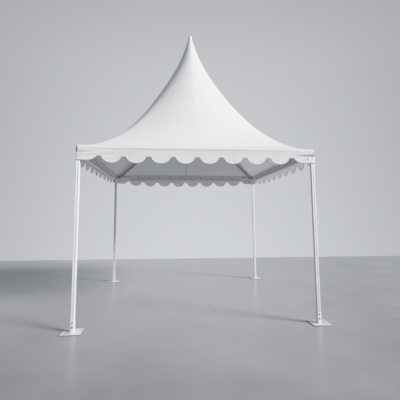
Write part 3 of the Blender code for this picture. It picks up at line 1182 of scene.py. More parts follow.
@dataclass(frozen=True)
class Plan:
    """The tent's driving sizes, in metres, most of them read from the frame."""

    cover_half: float
    post_at: float
    beam_half: float
    beam_low: float
    beam_top: float
    post_top: float
    gap: float = 0.0003              # between pieces that touch
    post: float = 0.042
    eave_top: float = 2.180
    rise: float = 2.420
    peak_ring: float = 0.030
    strut_foot_r: float = 1.400
    strut_foot_z: float = 2.130
    strut_pitch: float = 0.657
    strut_end_r: float = 1.430
    strut_r: float = 0.019
    crown_r: float = 0.042
    cup_wall: float = 0.0035
    cup_depth: float = 0.050

    @classmethod
    def from_frame(cls) -> "Plan":
        """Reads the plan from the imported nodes."""
        valance_low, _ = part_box("valance_front")
        post_low, post_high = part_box("post_front_right")
        beam_low, beam_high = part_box("eave_beam_front")
        return cls(cover_half=-valance_low[1], post_at=(post_low[0] + post_high[0]) / 2,
                   beam_half=beam_high[0], beam_low=beam_low[2], beam_top=beam_high[2],
                   post_top=post_high[2])

    def strut_axis(self, hip: float) -> Vector:
        """The point on the front right strut's axis where x is hip."""
        return Vector((hip, -hip, self.strut_foot_z + (self.strut_foot_r - hip) * self.strut_pitch))

    @property
    def strut_direction(self) -> Vector:
        """The front right strut's direction, upwards."""
        return (self.strut_axis(0.0) - self.strut_axis(1.0)).normalized()

    @property
    def at_corner(self) -> Matrix:
        """The place of what stands about the front right post's axis."""
        return Matrix.Translation((self.post_at, -self.post_at, 0.0))

    def strut_cup(self, length: float, floor: float, place: Matrix) -> Mesh:
        """Makes a cup that takes a strut's end.

        Args:
            length: The cup's whole length.
            floor: How far its bore's floor is from its root.
            place: Where it goes, made up +Z from its root.

        Returns:
            The cup.
        """
        bore, ease = self.strut_r + self.gap, 0.0008
        outer = bore + self.cup_wall
        profile = [(0, 0), (outer, 0), (outer, length - ease), (outer - ease, length), (bore + ease, length),
                   (bore, length - ease), (bore, floor), (0, floor)]
        return turned(profile, 32, place)


# As the cloth settled in the photo, in metres: how far the valance's lower edge stands above its even line
# at each corner and at the middle of each side, and how far it swings out on each side.
HEM_AT_CORNER = {Corner.FRONT_RIGHT: 0.006, Corner.BACK_RIGHT: 0.036, Corner.BACK_LEFT: 0.040,
                 Corner.FRONT_LEFT: 0.0}
HEM_AT_MIDDLE = {Side.FRONT: 0.0, Side.RIGHT: -0.020, Side.BACK: -0.018, Side.LEFT: 0.004}
FLARE = {Side.FRONT: 0.0, Side.RIGHT: 0.012, Side.BACK: 0.006, Side.LEFT: 0.044}


@dataclass
class RoofCover:
    """The cover: four roof panels, the fold over the eave and the scalloped valance, in one sheet."""

    plan: Plan
    thickness: float = 0.0014
    sweep_power: float = 1.68        # broad sweep from eave to peak
    spire_power: float = 17.0        # steep last part up to the pole
    spire_share: float = 0.135
    rounding_power: float = 1.0      # how fast the round section at the peak turns square
    row_power: float = 1.8           # rows stand closer towards the peak
    seam_crease: float = 0.12        # how far each panel is creased at its centre seam
    crease_start: float = 0.25       # width over which the crease grows, down from the peak
    fold_radius: float = 0.022
    roof_rows: int = 40
    fold_rows: int = 5
    corner_columns: int = 12
    lobe_columns: int = 14
    lobes: int = 8
    lobe_pitch: float = 0.3041
    notch_flat: float = 0.058
    notch_z: float = 2.059
    lobe_z: float = 1.978
    corner_z: float = 1.996
    lobe_power: float = 2.4          # the scallops' shape: how flat their bottoms are, and how full
    lobe_fullness: float = 0.72
    hem_power: float = 3.5           # how fast the valance's edge turns up or down towards a corner
    front_shift: float = -0.021      # how far the front's scallops stand off the middle
    corner_r: float = 0.010          # rounding of the cover's vertical corners
    hip_reach: float = 0.11          # width of the hips' rounding, on each side
    hip_start: float = 2.20          # height where it starts
    hip_rise: float = 0.40           # height that it takes to its full width
    lift: float = 0.020              # how far the cloth stands up at the front left corner
    lift_reach: float = 0.60
    slot_z: float = 2.096            # middle of the slots
    slot_half: float = 0.018         # half of a slot's height at the corner
    slot_length: float = 0.240
    short_end: float = 0.020         # how far an upper band's left and right ends stop before the corner
    short_right: float = 0.010
    short_reach: float = 0.12
    shut_share: float = 0.10         # how far a left end's slot is open
    upper_rows: int = 6
    lower_rows: int = 7
    curl: float = 0.004              # how far an upper band's right end curls out, at its lower edge
    curl_height: float = 0.060
    pull_reach: float = 0.75         # length, height and depth of the creases drawn in from the left ends
    pull_pitch: float = 0.058
    pull_z: float = 2.103            # height of the first crease at the corner, and its rise along the side
    pull_rise: float = 0.11
    pull_depth: float = 0.0034
    still_end: float = 0.10          # distance from a corner over which the cloth hangs still
    still_top: float = 0.03          # and below the fold
    flutter_depth: float = 0.0045    # depth of the free edge's ripples, where they start, and their growth
    flutter_top: float = 2.125
    flutter_height: float = 0.15
    flutter_power: float = 1.4
    wave_depth: float = 0.0022       # depth of the slow waves
    flare_power: float = 0.55        # how far towards the right end a flared side stands out most
    sharp_from: float = 50.0         # angle in degrees past which an edge of the cloth stays sharp
    seed: int = 7

    @property
    def first_notch(self) -> float:
        """Distance from a side's middle to its last notch."""
        return self.lobes * self.lobe_pitch / 2

    @property
    def half_columns(self) -> int:
        """Columns from a side's middle to its corner."""
        return self.lobes // 2 * self.lobe_columns + self.corner_columns

    @property
    def slope_at_fold(self) -> float:
        """The cover's angle below level where the fold starts."""
        hip = self.plan.cover_half - self.fold_radius
        step = 1e-4
        return math.atan((self.height(hip - step) - self.height(hip + step)) / (2 * step))

    @property
    def fold_hip(self) -> float:
        """The hip distance where the roof ends and the fold starts."""
        return self.plan.cover_half - self.fold_radius * (1 - math.sin(self.slope_at_fold))

    @property
    def fold_low(self) -> float:
        """The height where the fold ends and the cover hangs."""
        return self.height(self.fold_hip) - self.fold_radius * math.cos(self.slope_at_fold)

    def height(self, hip: float) -> float:
        """The roof's height.

        Args:
            hip: How far out the hips are at that height, along both axes.

        Returns:
            The height.
        """
        reach = 1 - hip / self.plan.cover_half
        sweep = (1 - self.spire_share) * reach ** self.sweep_power
        return self.plan.eave_top + self.plan.rise * (sweep + self.spire_share * reach ** self.spire_power)

    def column_x(self, column: int) -> float:
        """The columns' rule.

        Args:
            column: The column, from -half_columns to +half_columns.

        Returns:
            The column's place along the eave.
        """
        steps = min(abs(column), self.half_columns - self.corner_columns)
        whole, within = divmod(steps, self.lobe_columns)
        inner = min(max((within - 1) / (self.lobe_columns - 2), 0.0), 1.0)
        flat = self.notch_flat / 2
        x = whole * self.lobe_pitch + flat * min(within, 1)
        x += (self.lobe_pitch - self.notch_flat) * (1 - math.cos(math.pi * inner)) / 2
        x += flat * max(within - self.lobe_columns + 1, 0)
        past = max(abs(column) - steps, 0) / self.corner_columns
        x += (self.plan.cover_half - self.first_notch) * (1 - math.cos(math.pi * past)) / 2
        return math.copysign(x, column)

    def hem_rise(self, x: float, side: Side) -> float:
        """How far the valance's edge stands above its even line, at a place along a side."""
        corner, middle = HEM_AT_CORNER[side.corner(x)], HEM_AT_MIDDLE[side]
        return middle + (corner - middle) * abs(x / self.plan.cover_half) ** self.hem_power

    def edge_z(self, x: float, side: Side) -> float:
        """The height of the valance's lower edge.

        Args:
            x: The place along the side.
            side: The side.

        Returns:
            The height.
        """
        rise, x = self.hem_rise(x, side), abs(x)
        half = (self.lobe_pitch - self.notch_flat) / 2
        start = self.first_notch + self.notch_flat / 2
        deep = self.notch_z - (self.lobe_z if x <= start else self.corner_z)
        if x > start:
            off = max(start + half - x, 0.0) / half
        else:
            off = min(abs((x % self.lobe_pitch) - self.lobe_pitch / 2) / half, 1.0)
        return self.notch_z + rise - deep * (1 - off ** self.lobe_power) ** self.lobe_fullness

    def column_field(self, tree: Tree, column: Field) -> Field:
        """The columns' rule, as nodes.

        Args:
            tree: The tree.
            column: The column, from -half_columns to +half_columns.

        Returns:
            The column's place along the eave.
        """
        pitch, flat = tree.size("Lobe_Pitch"), tree.size("Notch_Flat")
        corner = tree.size("Corner_Length")
        away = abs(column)
        steps = away.by("MINIMUM", float(self.half_columns - self.corner_columns))
        whole = (steps / float(self.lobe_columns) + 1e-4).by("FLOOR")
        within = steps - whole * float(self.lobe_columns)
        inner = ((within - 1.0) / float(self.lobe_columns - 2)).clamp(0.0, 1.0)
        x = whole * pitch + flat * 0.5 * within.clamp(0.0, 1.0)
        x = x + (pitch - flat) * (1.0 - (inner * math.pi).by("COSINE")) * 0.5
        x = x + flat * 0.5 * (within - float(self.lobe_columns - 1)).clamp(0.0, 1.0)
        past = ((away - steps) / float(self.corner_columns)).clamp(0.0, 1.0)
        x = x + corner * (1.0 - (past * math.pi).by("COSINE")) * 0.5
        return x * column.by("SIGN")

    def surface_field(self, tree: Tree, row: Field,
                      share: Callable[[Field, Field], Field]) -> NodeSocket:
        """The cover's surface over the roof and the fold, as nodes.

        Args:
            tree: The tree.
            row: The row, from the peak down.
            share: Gives the place across the row, from -1 at the left hip to +1, from half the
                row's width and the arc's half angle times its radius over that.

        Returns:
            The place of each point.
        """
        half_cover, peak_hip = tree.size("Cover_Half"), tree.size("Peak_Hip")
        fold_hip, slope, radius = tree.size("Fold_Hip"), tree.size("Fold_Slope"), tree.size("Fold_Radius")
        eave, rise = tree.size("Eave_Top"), tree.size("Rise")
        down = (row / float(self.roof_rows)).clamp(0.0, 1.0)
        folded = ((row - float(self.roof_rows)) / float(self.fold_rows)).clamp(0.0, 1.0)
        hip = peak_hip + (fold_hip - peak_hip) * down ** self.row_power
        reach = (1.0 - hip / half_cover).clamp(0.0, 1.0)
        height = eave + rise * ((1 - self.spire_share) * reach ** self.sweep_power
                                + self.spire_share * reach ** self.spire_power)
        angle = slope + (QUARTER - slope) * folded
        half = hip + radius * (angle.by("SINE") - slope.by("SINE"))
        height = height + radius * (angle.by("COSINE") - slope.by("COSINE"))
        bulge = (FULL_ROUND * reach ** self.rounding_power).clamp(1e-4, FULL_ROUND)
        bend = (1.0 + bulge * bulge) / (2.0 * bulge)
        widest = bend.by("POWER", -1.0).by("ARCSINE")
        across = share(half, bend * widest)
        swing = across * widest
        arc_x = half * bend * swing.by("SINE")
        dip = (swing * 0.5).by("SINE")
        arc_y = half * bend * 2.0 * dip * dip - half * (1.0 + bulge)
        line_y = -(half * (1.0 + bulge * (1.0 - abs(across))))
        crease = ((hip - peak_hip) / self.crease_start).clamp(0.0, 1.0) * self.seam_crease
        x = arc_x + (half * across - arc_x) * crease
        y = arc_y + (line_y - arc_y) * crease
        return tree.vector(x, y, height)

    def surface_sizes(self) -> dict[str, object]:
        """The values of surface_field's named inputs."""
        return {"Cover_Half": self.plan.cover_half, "Peak_Hip": self.plan.peak_ring / math.sqrt(2),
                "Fold_Hip": self.fold_hip, "Fold_Slope": self.slope_at_fold,
                "Fold_Radius": self.fold_radius, "Eave_Top": self.plan.eave_top, "Rise": self.plan.rise}

    def grid(self, tree: Tree, columns: int, rows: int) -> tuple[NodeSocket, Field, Field]:
        """A flat grid whose columns and rows are whole numbers.

        Args:
            tree: The tree.
            columns: The number of columns.
            rows: The number of rows.

        Returns:
            The grid, the column counted from the middle and the row counted from the peak.
        """
        flat = tree.add("GeometryNodeMeshGrid", Size_X=1.0, Size_Y=1.0, Vertices_X=columns + 1,
                        Vertices_Y=rows + 1)
        x, y, _ = tree.position()
        column = (x * float(columns)).by("ROUND")
        row = ((0.5 - y) * float(rows)).by("ROUND")
        return flat.outputs["Mesh"], column, row

    def four_sides(self, tree: Tree, geometry: NodeSocket) -> NodeSocket:
        """Sets the front's geometry on all four sides and merges it along the hips.

        Args:
            tree: The tree.
            geometry: The front's.

        Returns:
            The whole geometry.
        """
        centre = tree.add("GeometryNodeMeshLine", Count=4, Start_Location=(0, 0, 0), Offset=(0, 0, 0))
        index = Field(tree, tree.add("GeometryNodeInputIndex").outputs[0])
        turn = tree.add("FunctionNodeEulerToRotation", Euler=tree.vector(0.0, 0.0, index * QUARTER))
        spread = tree.add("GeometryNodeInstanceOnPoints", Points=centre.outputs[0], Instance=geometry,
                          Rotation=turn.outputs[0])
        real = tree.add("GeometryNodeRealizeInstances", Geometry=spread.outputs[0])
        return tree.add("GeometryNodeMergeByDistance", Geometry=real.outputs[0], Distance=1e-4).outputs[0]

    def roof_mesh(self) -> Mesh:
        """Grows the roof and the fold by Geometry Nodes, with each point's row stored on it."""
        tree = Tree("roof_panels")
        columns, rows = 2 * self.half_columns, self.roof_rows + self.fold_rows
        flat, column, row = self.grid(tree, columns, rows)
        kept = tree.add("GeometryNodeStoreNamedAttribute", {"data_type": "FLOAT", "domain": "POINT"},
                        Geometry=flat, Name="row", Value=row)
        x = self.column_field(tree, column)
        half_cover = self.plan.cover_half
        surface = self.surface_field(tree, row, lambda half, arc: x / half_cover)
        placed = tree.add("GeometryNodeSetPosition", Geometry=kept.outputs[0], Position=surface)
        tree.close(self.four_sides(tree, placed.outputs[0]), COVER_FABRIC.material())
        sizes = {"Lobe_Pitch": self.lobe_pitch, "Notch_Flat": self.notch_flat,
                 "Corner_Length": half_cover - self.first_notch}
        return tree.grow("roof_panels", {**self.surface_sizes(), **sizes})

    def ripple(self, x: float, z: float, side: Side) -> float:
        """How far the hanging cover stands out from its plane.

        Args:
            x: The place along the side.
            z: The height.
            side: The side, which gives its own ripples.

        Returns:
            The distance, outwards.
        """
        corner = min(1.0, (self.plan.cover_half - abs(x)) / self.still_end)
        loose = min(max((self.flutter_top - z) / self.flutter_height, 0.0), 1.0)
        below = min(1.0, max(0.0, self.fold_low - z) / self.still_top)
        wander = noise.noise(Vector((x * 5.0, z * 3.0, 11.0 * side.value + self.seed)))
        flutter = noise.noise(Vector((x * 13.0, 0.0, 5.0 * side.value + self.seed)))
        sway = self.flutter_depth * loose ** self.flutter_power * flutter + self.wave_depth * wander * below
        left = max(0.0, 1 - (self.plan.cover_half + x) / self.pull_reach)
        rise = self.pull_rise * (self.plan.cover_half + x) - 0.008 * wander
        drawn = math.sin(2 * math.pi * (z - self.pull_z - rise) / self.pull_pitch)
        from_right = max(0.0, self.plan.cover_half - x) / (2 * self.plan.cover_half)
        swing = math.sin(math.pi * min(1.0, from_right) ** self.flare_power)
        down = min(max((self.fold_low - z) / (self.fold_low - self.lobe_z), 0.0), 1.0)
        sway += FLARE[side] * swing * down * min(1.0, 4 * corner)
        return corner * sway + below * self.pull_depth * left ** 0.8 * min(1.0, corner + 0.4) * drawn

    def hang(self, x: float, z: float, side: Side) -> Vector:
        """A point of the hanging cover.

        Args:
            x: The place along the side.
            z: The height.
            side: The side.

        Returns:
            The point, in the tent's own frame.
        """
        half = self.plan.cover_half
        y = -half - self.ripple(x, z, side)
        if side is Side.FRONT:
            down = min(max((self.fold_low - z) / (self.fold_low - self.notch_z), 0.0), 1.0)
            x += self.front_shift * (1 - abs(x / half) ** 8) * down
        return self.settled(side.turn @ Vector((x, y, z)))

    @cached_property
    def hip_table(self) -> list[tuple[float, float]]:
        """Heights of the hip and its places there, from the eave up."""
        steps = 300
        hips = [self.fold_hip * (1 - i / steps) for i in range(steps)]
        return [(self.height(hip), hip) for hip in hips]

    def eased(self, point: Vector) -> Vector:
        """Rounds the hips by a parabola that meets both panels.

        Args:
            point: A point of the roof.

        Returns:
            Its place on the rounded roof.
        """
        reach = min(1.0, max(0.0, (point.z - self.hip_start) / self.hip_rise)) * self.hip_reach
        if reach <= 0:
            return point
        place = min(bisect_left(self.hip_table, (point.z, 0.0)), len(self.hip_table) - 1)
        hip = self.hip_table[place][1]
        bulge = FULL_ROUND * max(0.0, 1 - hip / self.plan.cover_half) ** self.rounding_power
        arc, crease = math.tan(2 * math.atan(bulge)), min(1.0, hip / self.crease_start) * self.seam_crease
        slope = min(1.0, arc + (bulge - arc) * crease)
        away = abs(abs(point.x) - abs(point.y)) / (1 + slope)
        back = (1 - slope) * reach / 4 * max(0.0, 1 - away / reach) ** 2
        return point - Vector((math.copysign(back, point.x), math.copysign(back, point.y), 0.0))

    def settled(self, point: Vector) -> Vector:
        """Rounds the hips and the hanging corners, and lifts the loose front left corner.

        Args:
            point: A point of the cover.

        Returns:
            Its last place.
        """
        point = self.eased(point)
        inner = self.plan.cover_half - self.corner_r
        past = Vector((abs(point.x) - inner, abs(point.y) - inner))
        if past.x > 0 and past.y > 0:
            past = past * (max(past) / past.length)
            point = Vector((math.copysign(inner + past.x, point.x), math.copysign(inner + past.y, point.y),
                            point.z))
        off = math.hypot(point.x + self.plan.cover_half, point.y + self.plan.cover_half) / self.lift_reach
        if off >= 1:
            return point
        return point + Vector((0.0, 0.0, self.lift * (1 - off) ** 2 * (1 + 2 * off)))

    def slot_rise(self, x: float, side: Side) -> float:
        """Half of the slot's opening.

        Args:
            x: The place along the side.
            side: The side.

        Returns:
            Half of its height there.
        """
        share = (abs(x) - (self.plan.cover_half - self.slot_length)) / self.slot_length
        if share <= 0:
            return 0.0
        return self.slot_half * share ** 0.8 * (1.0 if x > 0 and side is not Side.LEFT else self.shut_share)

    def upper_levels(self, x: float, side: Side) -> list[float]:
        """Heights of the upper band's rows, from the fold down to the slot."""
        step = (self.slot_z + self.slot_rise(x, side) - self.fold_low) / self.upper_rows
        return [self.fold_low + step * row for row in range(1, self.upper_rows + 1)]

    def lower_levels(self, x: float, side: Side) -> list[float]:
        """Heights of the lower band's rows, from the slot down to the scallops."""
        top, low = self.slot_z - self.slot_rise(x, side), self.edge_z(x, side)
        return [top + (low - top) * row / self.lower_rows for row in range(self.lower_rows + 1)]

    def build(self) -> Object:
        """Returns:
            The cover.
        """
        shape = bmesh.new()
        roof = self.roof_mesh()
        shape.from_mesh(roof)
        bpy.data.meshes.remove(roof)
        self.open_short_ends(shape)
        rims = [v for v in shape.verts if v.is_boundary and v.co.z < self.plan.eave_top]
        finder = KDTree(len(rims))
        for place, vert in enumerate(rims):
            finder.insert(vert.co, place)
        finder.balance()
        for vert in shape.verts:
            vert.co = self.settled(vert.co)
        corners: dict[tuple[Corner, int], BMVert] = {}
        for side in Side:
            self.hang_side(shape, lambda spot: rims[finder.find(spot)[1]], side, corners)
        self.lay_uv(shape)
        area = sum(face.calc_area() for face in shape.faces)
        cover = shown("roof_cover", mesh_of(shape), COVER_FABRIC, crease=None)
        solidified(cover, self.thickness, even=False)
        cover.data.shade_smooth()
        cover.data.set_sharp_from_angle(angle=math.radians(self.sharp_from))
        for finish in (VALANCE_FABRIC, SHADED_INNER_FABRIC):
            cover.data.materials.append(finish.material())
        # the roof's inner faces take the darker copy of the cloth, as painted shade
        for face in cover.data.polygons:
            inner = face.normal.dot(Vector((face.center.x, face.center.y, 1.0))) < 0
            face.material_index = 1 if face.center.z < self.fold_low else 2 * inner
        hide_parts(*[f"{node}_{side.tag}" for node in ("roof_gore", "valance") for side in Side])
        self.declare(area)
        return cover

    def declare(self, area: float) -> None:
        """Args:
            area: The area of its cloth.
        """
        steps = 400
        spots = [self.plan.cover_half * i / steps for i in range(steps + 1)]
        heights = [self.height(hip) for hip in spots]
        down = sum(math.hypot(spots[i + 1] - spots[i], heights[i + 1] - heights[i]) for i in range(steps))
        down += self.plan.eave_top - self.lobe_z
        width = len(Side) * 2 * self.plan.cover_half
        log.info("cover: %.2f by %.2f m, %.2f square metres of cloth", width, down, area)

    def hang_side(self, shape: BMesh, edge_point: Callable[[Vector], BMVert],
                  side: Side, corners: dict[tuple[Corner, int], BMVert]) -> None:
        """Hangs one side's valance from the fold's lower edge.

        Args:
            shape: The cover so far.
            edge_point: Gives the fold's edge point that is nearest to a place.
            side: The side.
            corners: The lower band's points at the corners, which two sides share.
        """
        last = self.half_columns
        upper, lower = [], []
        for column in range(-last, last + 1):
            x = self.column_x(column)
            hung_x = self.drawn_back(x)
            split = abs(x) > self.plan.cover_half - self.slot_length
            curl = self.curl if column == last else 0.0
            band = [edge_point(side.turn @ Vector((hung_x, -self.plan.cover_half, self.fold_low)))]
            for level in self.upper_levels(x, side):
                out = side.out * (curl * (self.fold_low - level) / self.curl_height)
                band.append(shape.verts.new(self.hang(hung_x, level, side) + out))
            upper.append(band)
            rows = []
            for row, level in enumerate(self.lower_levels(x, side)):
                shared = (side.corner(x), row)
                if row == 0 and not split:
                    rows.append(band[-1])
                elif abs(column) == last and shared in corners:
                    rows.append(corners[shared])
                else:
                    rows.append(shape.verts.new(self.hang(x, level, side)))
                if abs(column) == last:
                    corners[shared] = rows[-1]
            lower.append(rows)
        for grid in (upper, lower):
            for left, right in zip(grid, grid[1:]):
                for row in range(len(left) - 1):
                    shape.faces.new((left[row], left[row + 1], right[row + 1], right[row]))

    def drawn_back(self, x: float) -> float:
        """The place of an upper band's point, whose ends stop short of the corners."""
        left, right = (max(0.0, 1 - (self.plan.cover_half + way * x) / self.short_reach) for way in (1, -1))
        return x + self.short_end * left - self.short_right * right

    def open_short_ends(self, shape: BMesh) -> None:
        """Parts the fold along the hips and draws its ends back, so that the gaps reach the top.

        Args:
            shape: The roof and the fold.
        """
        top = self.height(self.fold_hip)
        low = [v for v in shape.verts if v.co.z < top - 1e-3]
        places: dict[BMVert, Vector] = {}
        for side in Side:
            back = side.turn.inverted()
            parted: dict[BMVert, BMVert] = {}
            for vert in low:
                spot = back @ vert.co
                if -spot.y < abs(spot.x) - 1e-4:
                    continue
                share = min(1.0, (top - spot.z) / (self.fold_radius * 0.6))
                aside = Vector((share * (self.drawn_back(spot.x) - spot.x), 0.0, 0.0))
                if abs(spot.x - spot.y) < 1e-4:
                    parted[vert] = shape.verts.new(side.turn @ (spot + aside))
                else:
                    places[vert] = side.turn @ (spot + aside)
            for face in {f for v in parted for f in v.link_faces}:
                centre = back @ face.calc_center_median()
                if centre.y < centre.x:
                    corners = [parted.get(v, v) for v in face.verts]
                    shape.faces.remove(face)
                    shape.faces.new(corners)
        for vert, place in places.items():
            vert.co = place

    def lay_uv(self, shape: BMesh) -> None:
        """Lays the weave's map in metres: along each side, and off the tent's middle line at eave height.

        Args:
            shape: The whole cover.
        """
        cloth = shape.loops.layers.uv.new(COVER_FABRIC.uv_map)
        for face in shape.faces:
            centre = face.calc_center_median()
            side = max(Side, key=lambda s: s.out.dot(centre))
            back = side.turn.inverted()
            for loop in face.loops:
                spot = back @ loop.vert.co
                loop[cloth].uv = (spot.x, math.hypot(spot.y, spot.z - self.plan.eave_top))


@dataclass
class SeamBands:
    """Weld bands along the roof's centre seams and hips, and the grey tapes under the centre seams, whose
    tone is painted shade.
    """

    cover: RoofCover
    width: float = 0.046
    lift: float = 0.0003
    thickness: float = 0.0002
    tape_width: float = 0.034
    tape_lift: float = -0.0020
    columns: int = 4

    def strip(self, tree: Tree, width: Field, start: float, end: float, rows: int) -> NodeSocket:
        """One strip of the cover's surface, along a line of the panel.

        Args:
            tree: The tree.
            width: The whole band's width.
            start: The strip's first edge, in band widths from its line.
            end: Its other edge.
            rows: How many of the cover's rows it covers, from the peak.

        Returns:
            The strip, on the front side.
        """
        cover = self.cover
        flat, column, row = cover.grid(tree, self.columns, rows)
        across = (column / float(self.columns) + 0.5) * (end - start) + start

        def share(half: Field, arc: Field) -> Field:
            """The strip's place across the row.

            Args:
                half: Half of the row's width.
                arc: The arc's half angle times its radius over that.

            Returns:
                The place, from -1 at the left hip to +1.
            """
            reach = across * width / (half * arc)
            if start < 0 < end:
                return reach.clamp(-1.0, 1.0)
            if start >= 0:
                return (reach - 1.0).clamp(-1.0, 0.0)
            return (reach + 1.0).clamp(0.0, 1.0)

        surface = cover.surface_field(tree, row, share)
        return tree.add("GeometryNodeSetPosition", Geometry=flat, Position=surface).outputs[0]

    def band_mesh(self, place: SeamPlace) -> Mesh:
        """Grows the four bands of one kind by Geometry Nodes.

        Args:
            place: Where they lie.

        Returns:
            The bands, open below.
        """
        tree = Tree(place.value)
        width, lift = tree.size("Band_Width"), tree.size("Lift")
        on_hip, inner = place is SeamPlace.HIP, place is SeamPlace.INNER
        spans = [(0.0, 0.5), (-0.5, 0.0)] if on_hip else [(-0.5, 0.5)]
        rows = self.cover.roof_rows + (0 if on_hip else self.cover.fold_rows)
        group = tree.add("GeometryNodeJoinGeometry")
        for start, end in spans:
            tree.feed(group.inputs[0], self.strip(tree, width, start, end, rows))
        merged = self.cover.four_sides(tree, group.outputs[0])
        normal = tree.add("GeometryNodeInputNormal").outputs[0]
        offset = tree.add("ShaderNodeVectorMath", {"operation": "SCALE"}, Vector=normal, Scale=lift)
        raised = tree.add("GeometryNodeSetPosition", Geometry=merged, Offset=offset.outputs[0])
        tree.close(raised.outputs[0], self.finish(place).material())
        sizes = {"Band_Width": self.tape_width if inner else self.width,
                 "Lift": self.tape_lift if inner else self.lift}
        mesh = tree.grow(place.value, {**self.cover.surface_sizes(), **sizes})
        for vert in mesh.vertices:
            vert.co = self.cover.settled(vert.co)
        return lay_cloth(mesh)

    def finish(self, place: SeamPlace) -> Finish:
        """The finish of one kind of band."""
        return SHADED_SEAM_TAPE if place is SeamPlace.INNER else COVER_FABRIC

    def build(self) -> list[Object]:
        """Builds each kind of band."""
        made = []
        for place in SeamPlace:
            band = shown(f"{place.value}_bands", self.band_mesh(place), self.finish(place), None)
            solidified(band, self.thickness)
            band.data.set_sharp_from_angle(angle=math.radians(SHARP_FROM))
            made.append(band)
        return made


@dataclass
class EdgeBinding:
    """Tape folded over the scallops' edge, all the way round."""

    cover: RoofCover
    width: float = 0.013
    thickness: float = 0.0032
    overhang: float = 0.0006         # how far the tape reaches past the cloth's edge
    crease: float = 40.0

    def path(self, side: Side) -> tuple[list[Vector], list[Vector]]:
        """The middle line of the tape along one side, and the way that it faces.

        Args:
            side: The side.

        Returns:
            The line's points, and the outward direction at each.
        """
        cover = self.cover
        last = cover.half_columns
        edge = [Vector((x, cover.edge_z(x, side))) for x in map(cover.column_x, range(-last, last + 1))]
        points = []
        for index, spot in enumerate(edge):
            before, after = edge[max(index - 1, 0)], edge[min(index + 1, len(edge) - 1)]
            way = ((spot - before).normalized() + (after - spot).normalized()).normalized()
            spot = spot + Vector((-way.y, way.x)) * (self.width / 2 - self.overhang)
            points.append(cover.hang(spot.x, spot.y, side) - side.out * (cover.thickness / 2))
        return points, [side.out] * len(points)

    def build(self) -> Object:
        """Sweeps the tape by Geometry Nodes along all four sides."""
        tree = flat_strip_tree(BINDING_TAPE)
        sizes = {"Thickness": self.thickness, "Width": self.width}
        meshes = [tree.grow("binding", sizes, sweep_mesh(*self.path(side))) for side in Side]
        return shown("scallop_binding", lay_cloth(joined(meshes)), BINDING_TAPE, self.crease)


@dataclass
class CornerGrommets:
    """A metal grommet at each side's right end, and the buttons beside and above it."""

    cover: RoofCover
    from_corner: float = 0.088
    level: float = 2.049
    outer: float = 0.0105
    hole: float = 0.0058
    proud: float = 0.0022
    button_at: tuple[tuple[float, float], ...] = ((1.339, 2.150), (1.444, 2.047))
    button_r: float = 0.0125
    button_rise: float = 0.0028
    sides: int = 28

    def spots(self) -> list[tuple[Vector, Vector]]:
        """The grommets' places, and the way that each faces."""
        return self.faced(self.cover.plan.cover_half - self.from_corner, self.level)

    def faced(self, x: float, z: float) -> list[tuple[Vector, Vector]]:
        """The same place on each side's cloth, and the way that it faces."""
        return [(self.cover.hang(x, z, side), side.out) for side in Side]

    def punch(self, sheet: Object) -> None:
        """Cuts the grommets' holes.

        Args:
            sheet: The cover.
        """
        rods = [rod(at - out * 0.02, at + out * 0.02, self.hole + 0.0008) for at, out in self.spots()]
        drills = bpy.data.objects.new("drills", joined(rods))
        bpy.context.scene.collection.objects.link(drills)
        cut = sheet.modifiers.new("holes", "BOOLEAN")
        cut.operation = "DIFFERENCE"
        cut.object = drills
        applied(sheet)
        bpy.data.objects.remove(drills)

    def build(self) -> list[Object]:
        """Builds the grommets, which clasp the cloth, and the buttons."""
        back = -self.cover.thickness - self.proud * 0.7
        middle = (self.outer + self.hole) / 2
        profile = [(self.hole, back), (self.outer * 0.92, back), (self.outer, back * 0.6),
                   (self.outer, 0.0004), (middle + 0.002, self.proud), (middle - 0.001, self.proud),
                   (self.hole, self.proud * 0.4), (self.hole, back)]
        rings = [turned(profile, self.sides, along(at, at + out)) for at, out in self.spots()]
        r, rise, steps = self.button_r, self.button_rise, 6
        dome = [(0, -0.004), (r * 0.8, -0.004), (r * 0.8, -0.0015), (r, 0.0)]
        for share in (i / steps for i in range(steps + 1)):
            dome.append((r * (1 - share), 0.0006 + rise * (1 - (1 - share) ** 2)))
        buttons = [turned(dome, self.sides, along(at, at + out)) for x, z in self.button_at
                   for at, out in self.faced(x, z)]
        return [shown("corner_grommets", joined(rings), ZINC),
                shown("band_buttons", joined(buttons), BUTTON_MOULDING, crease=None)]


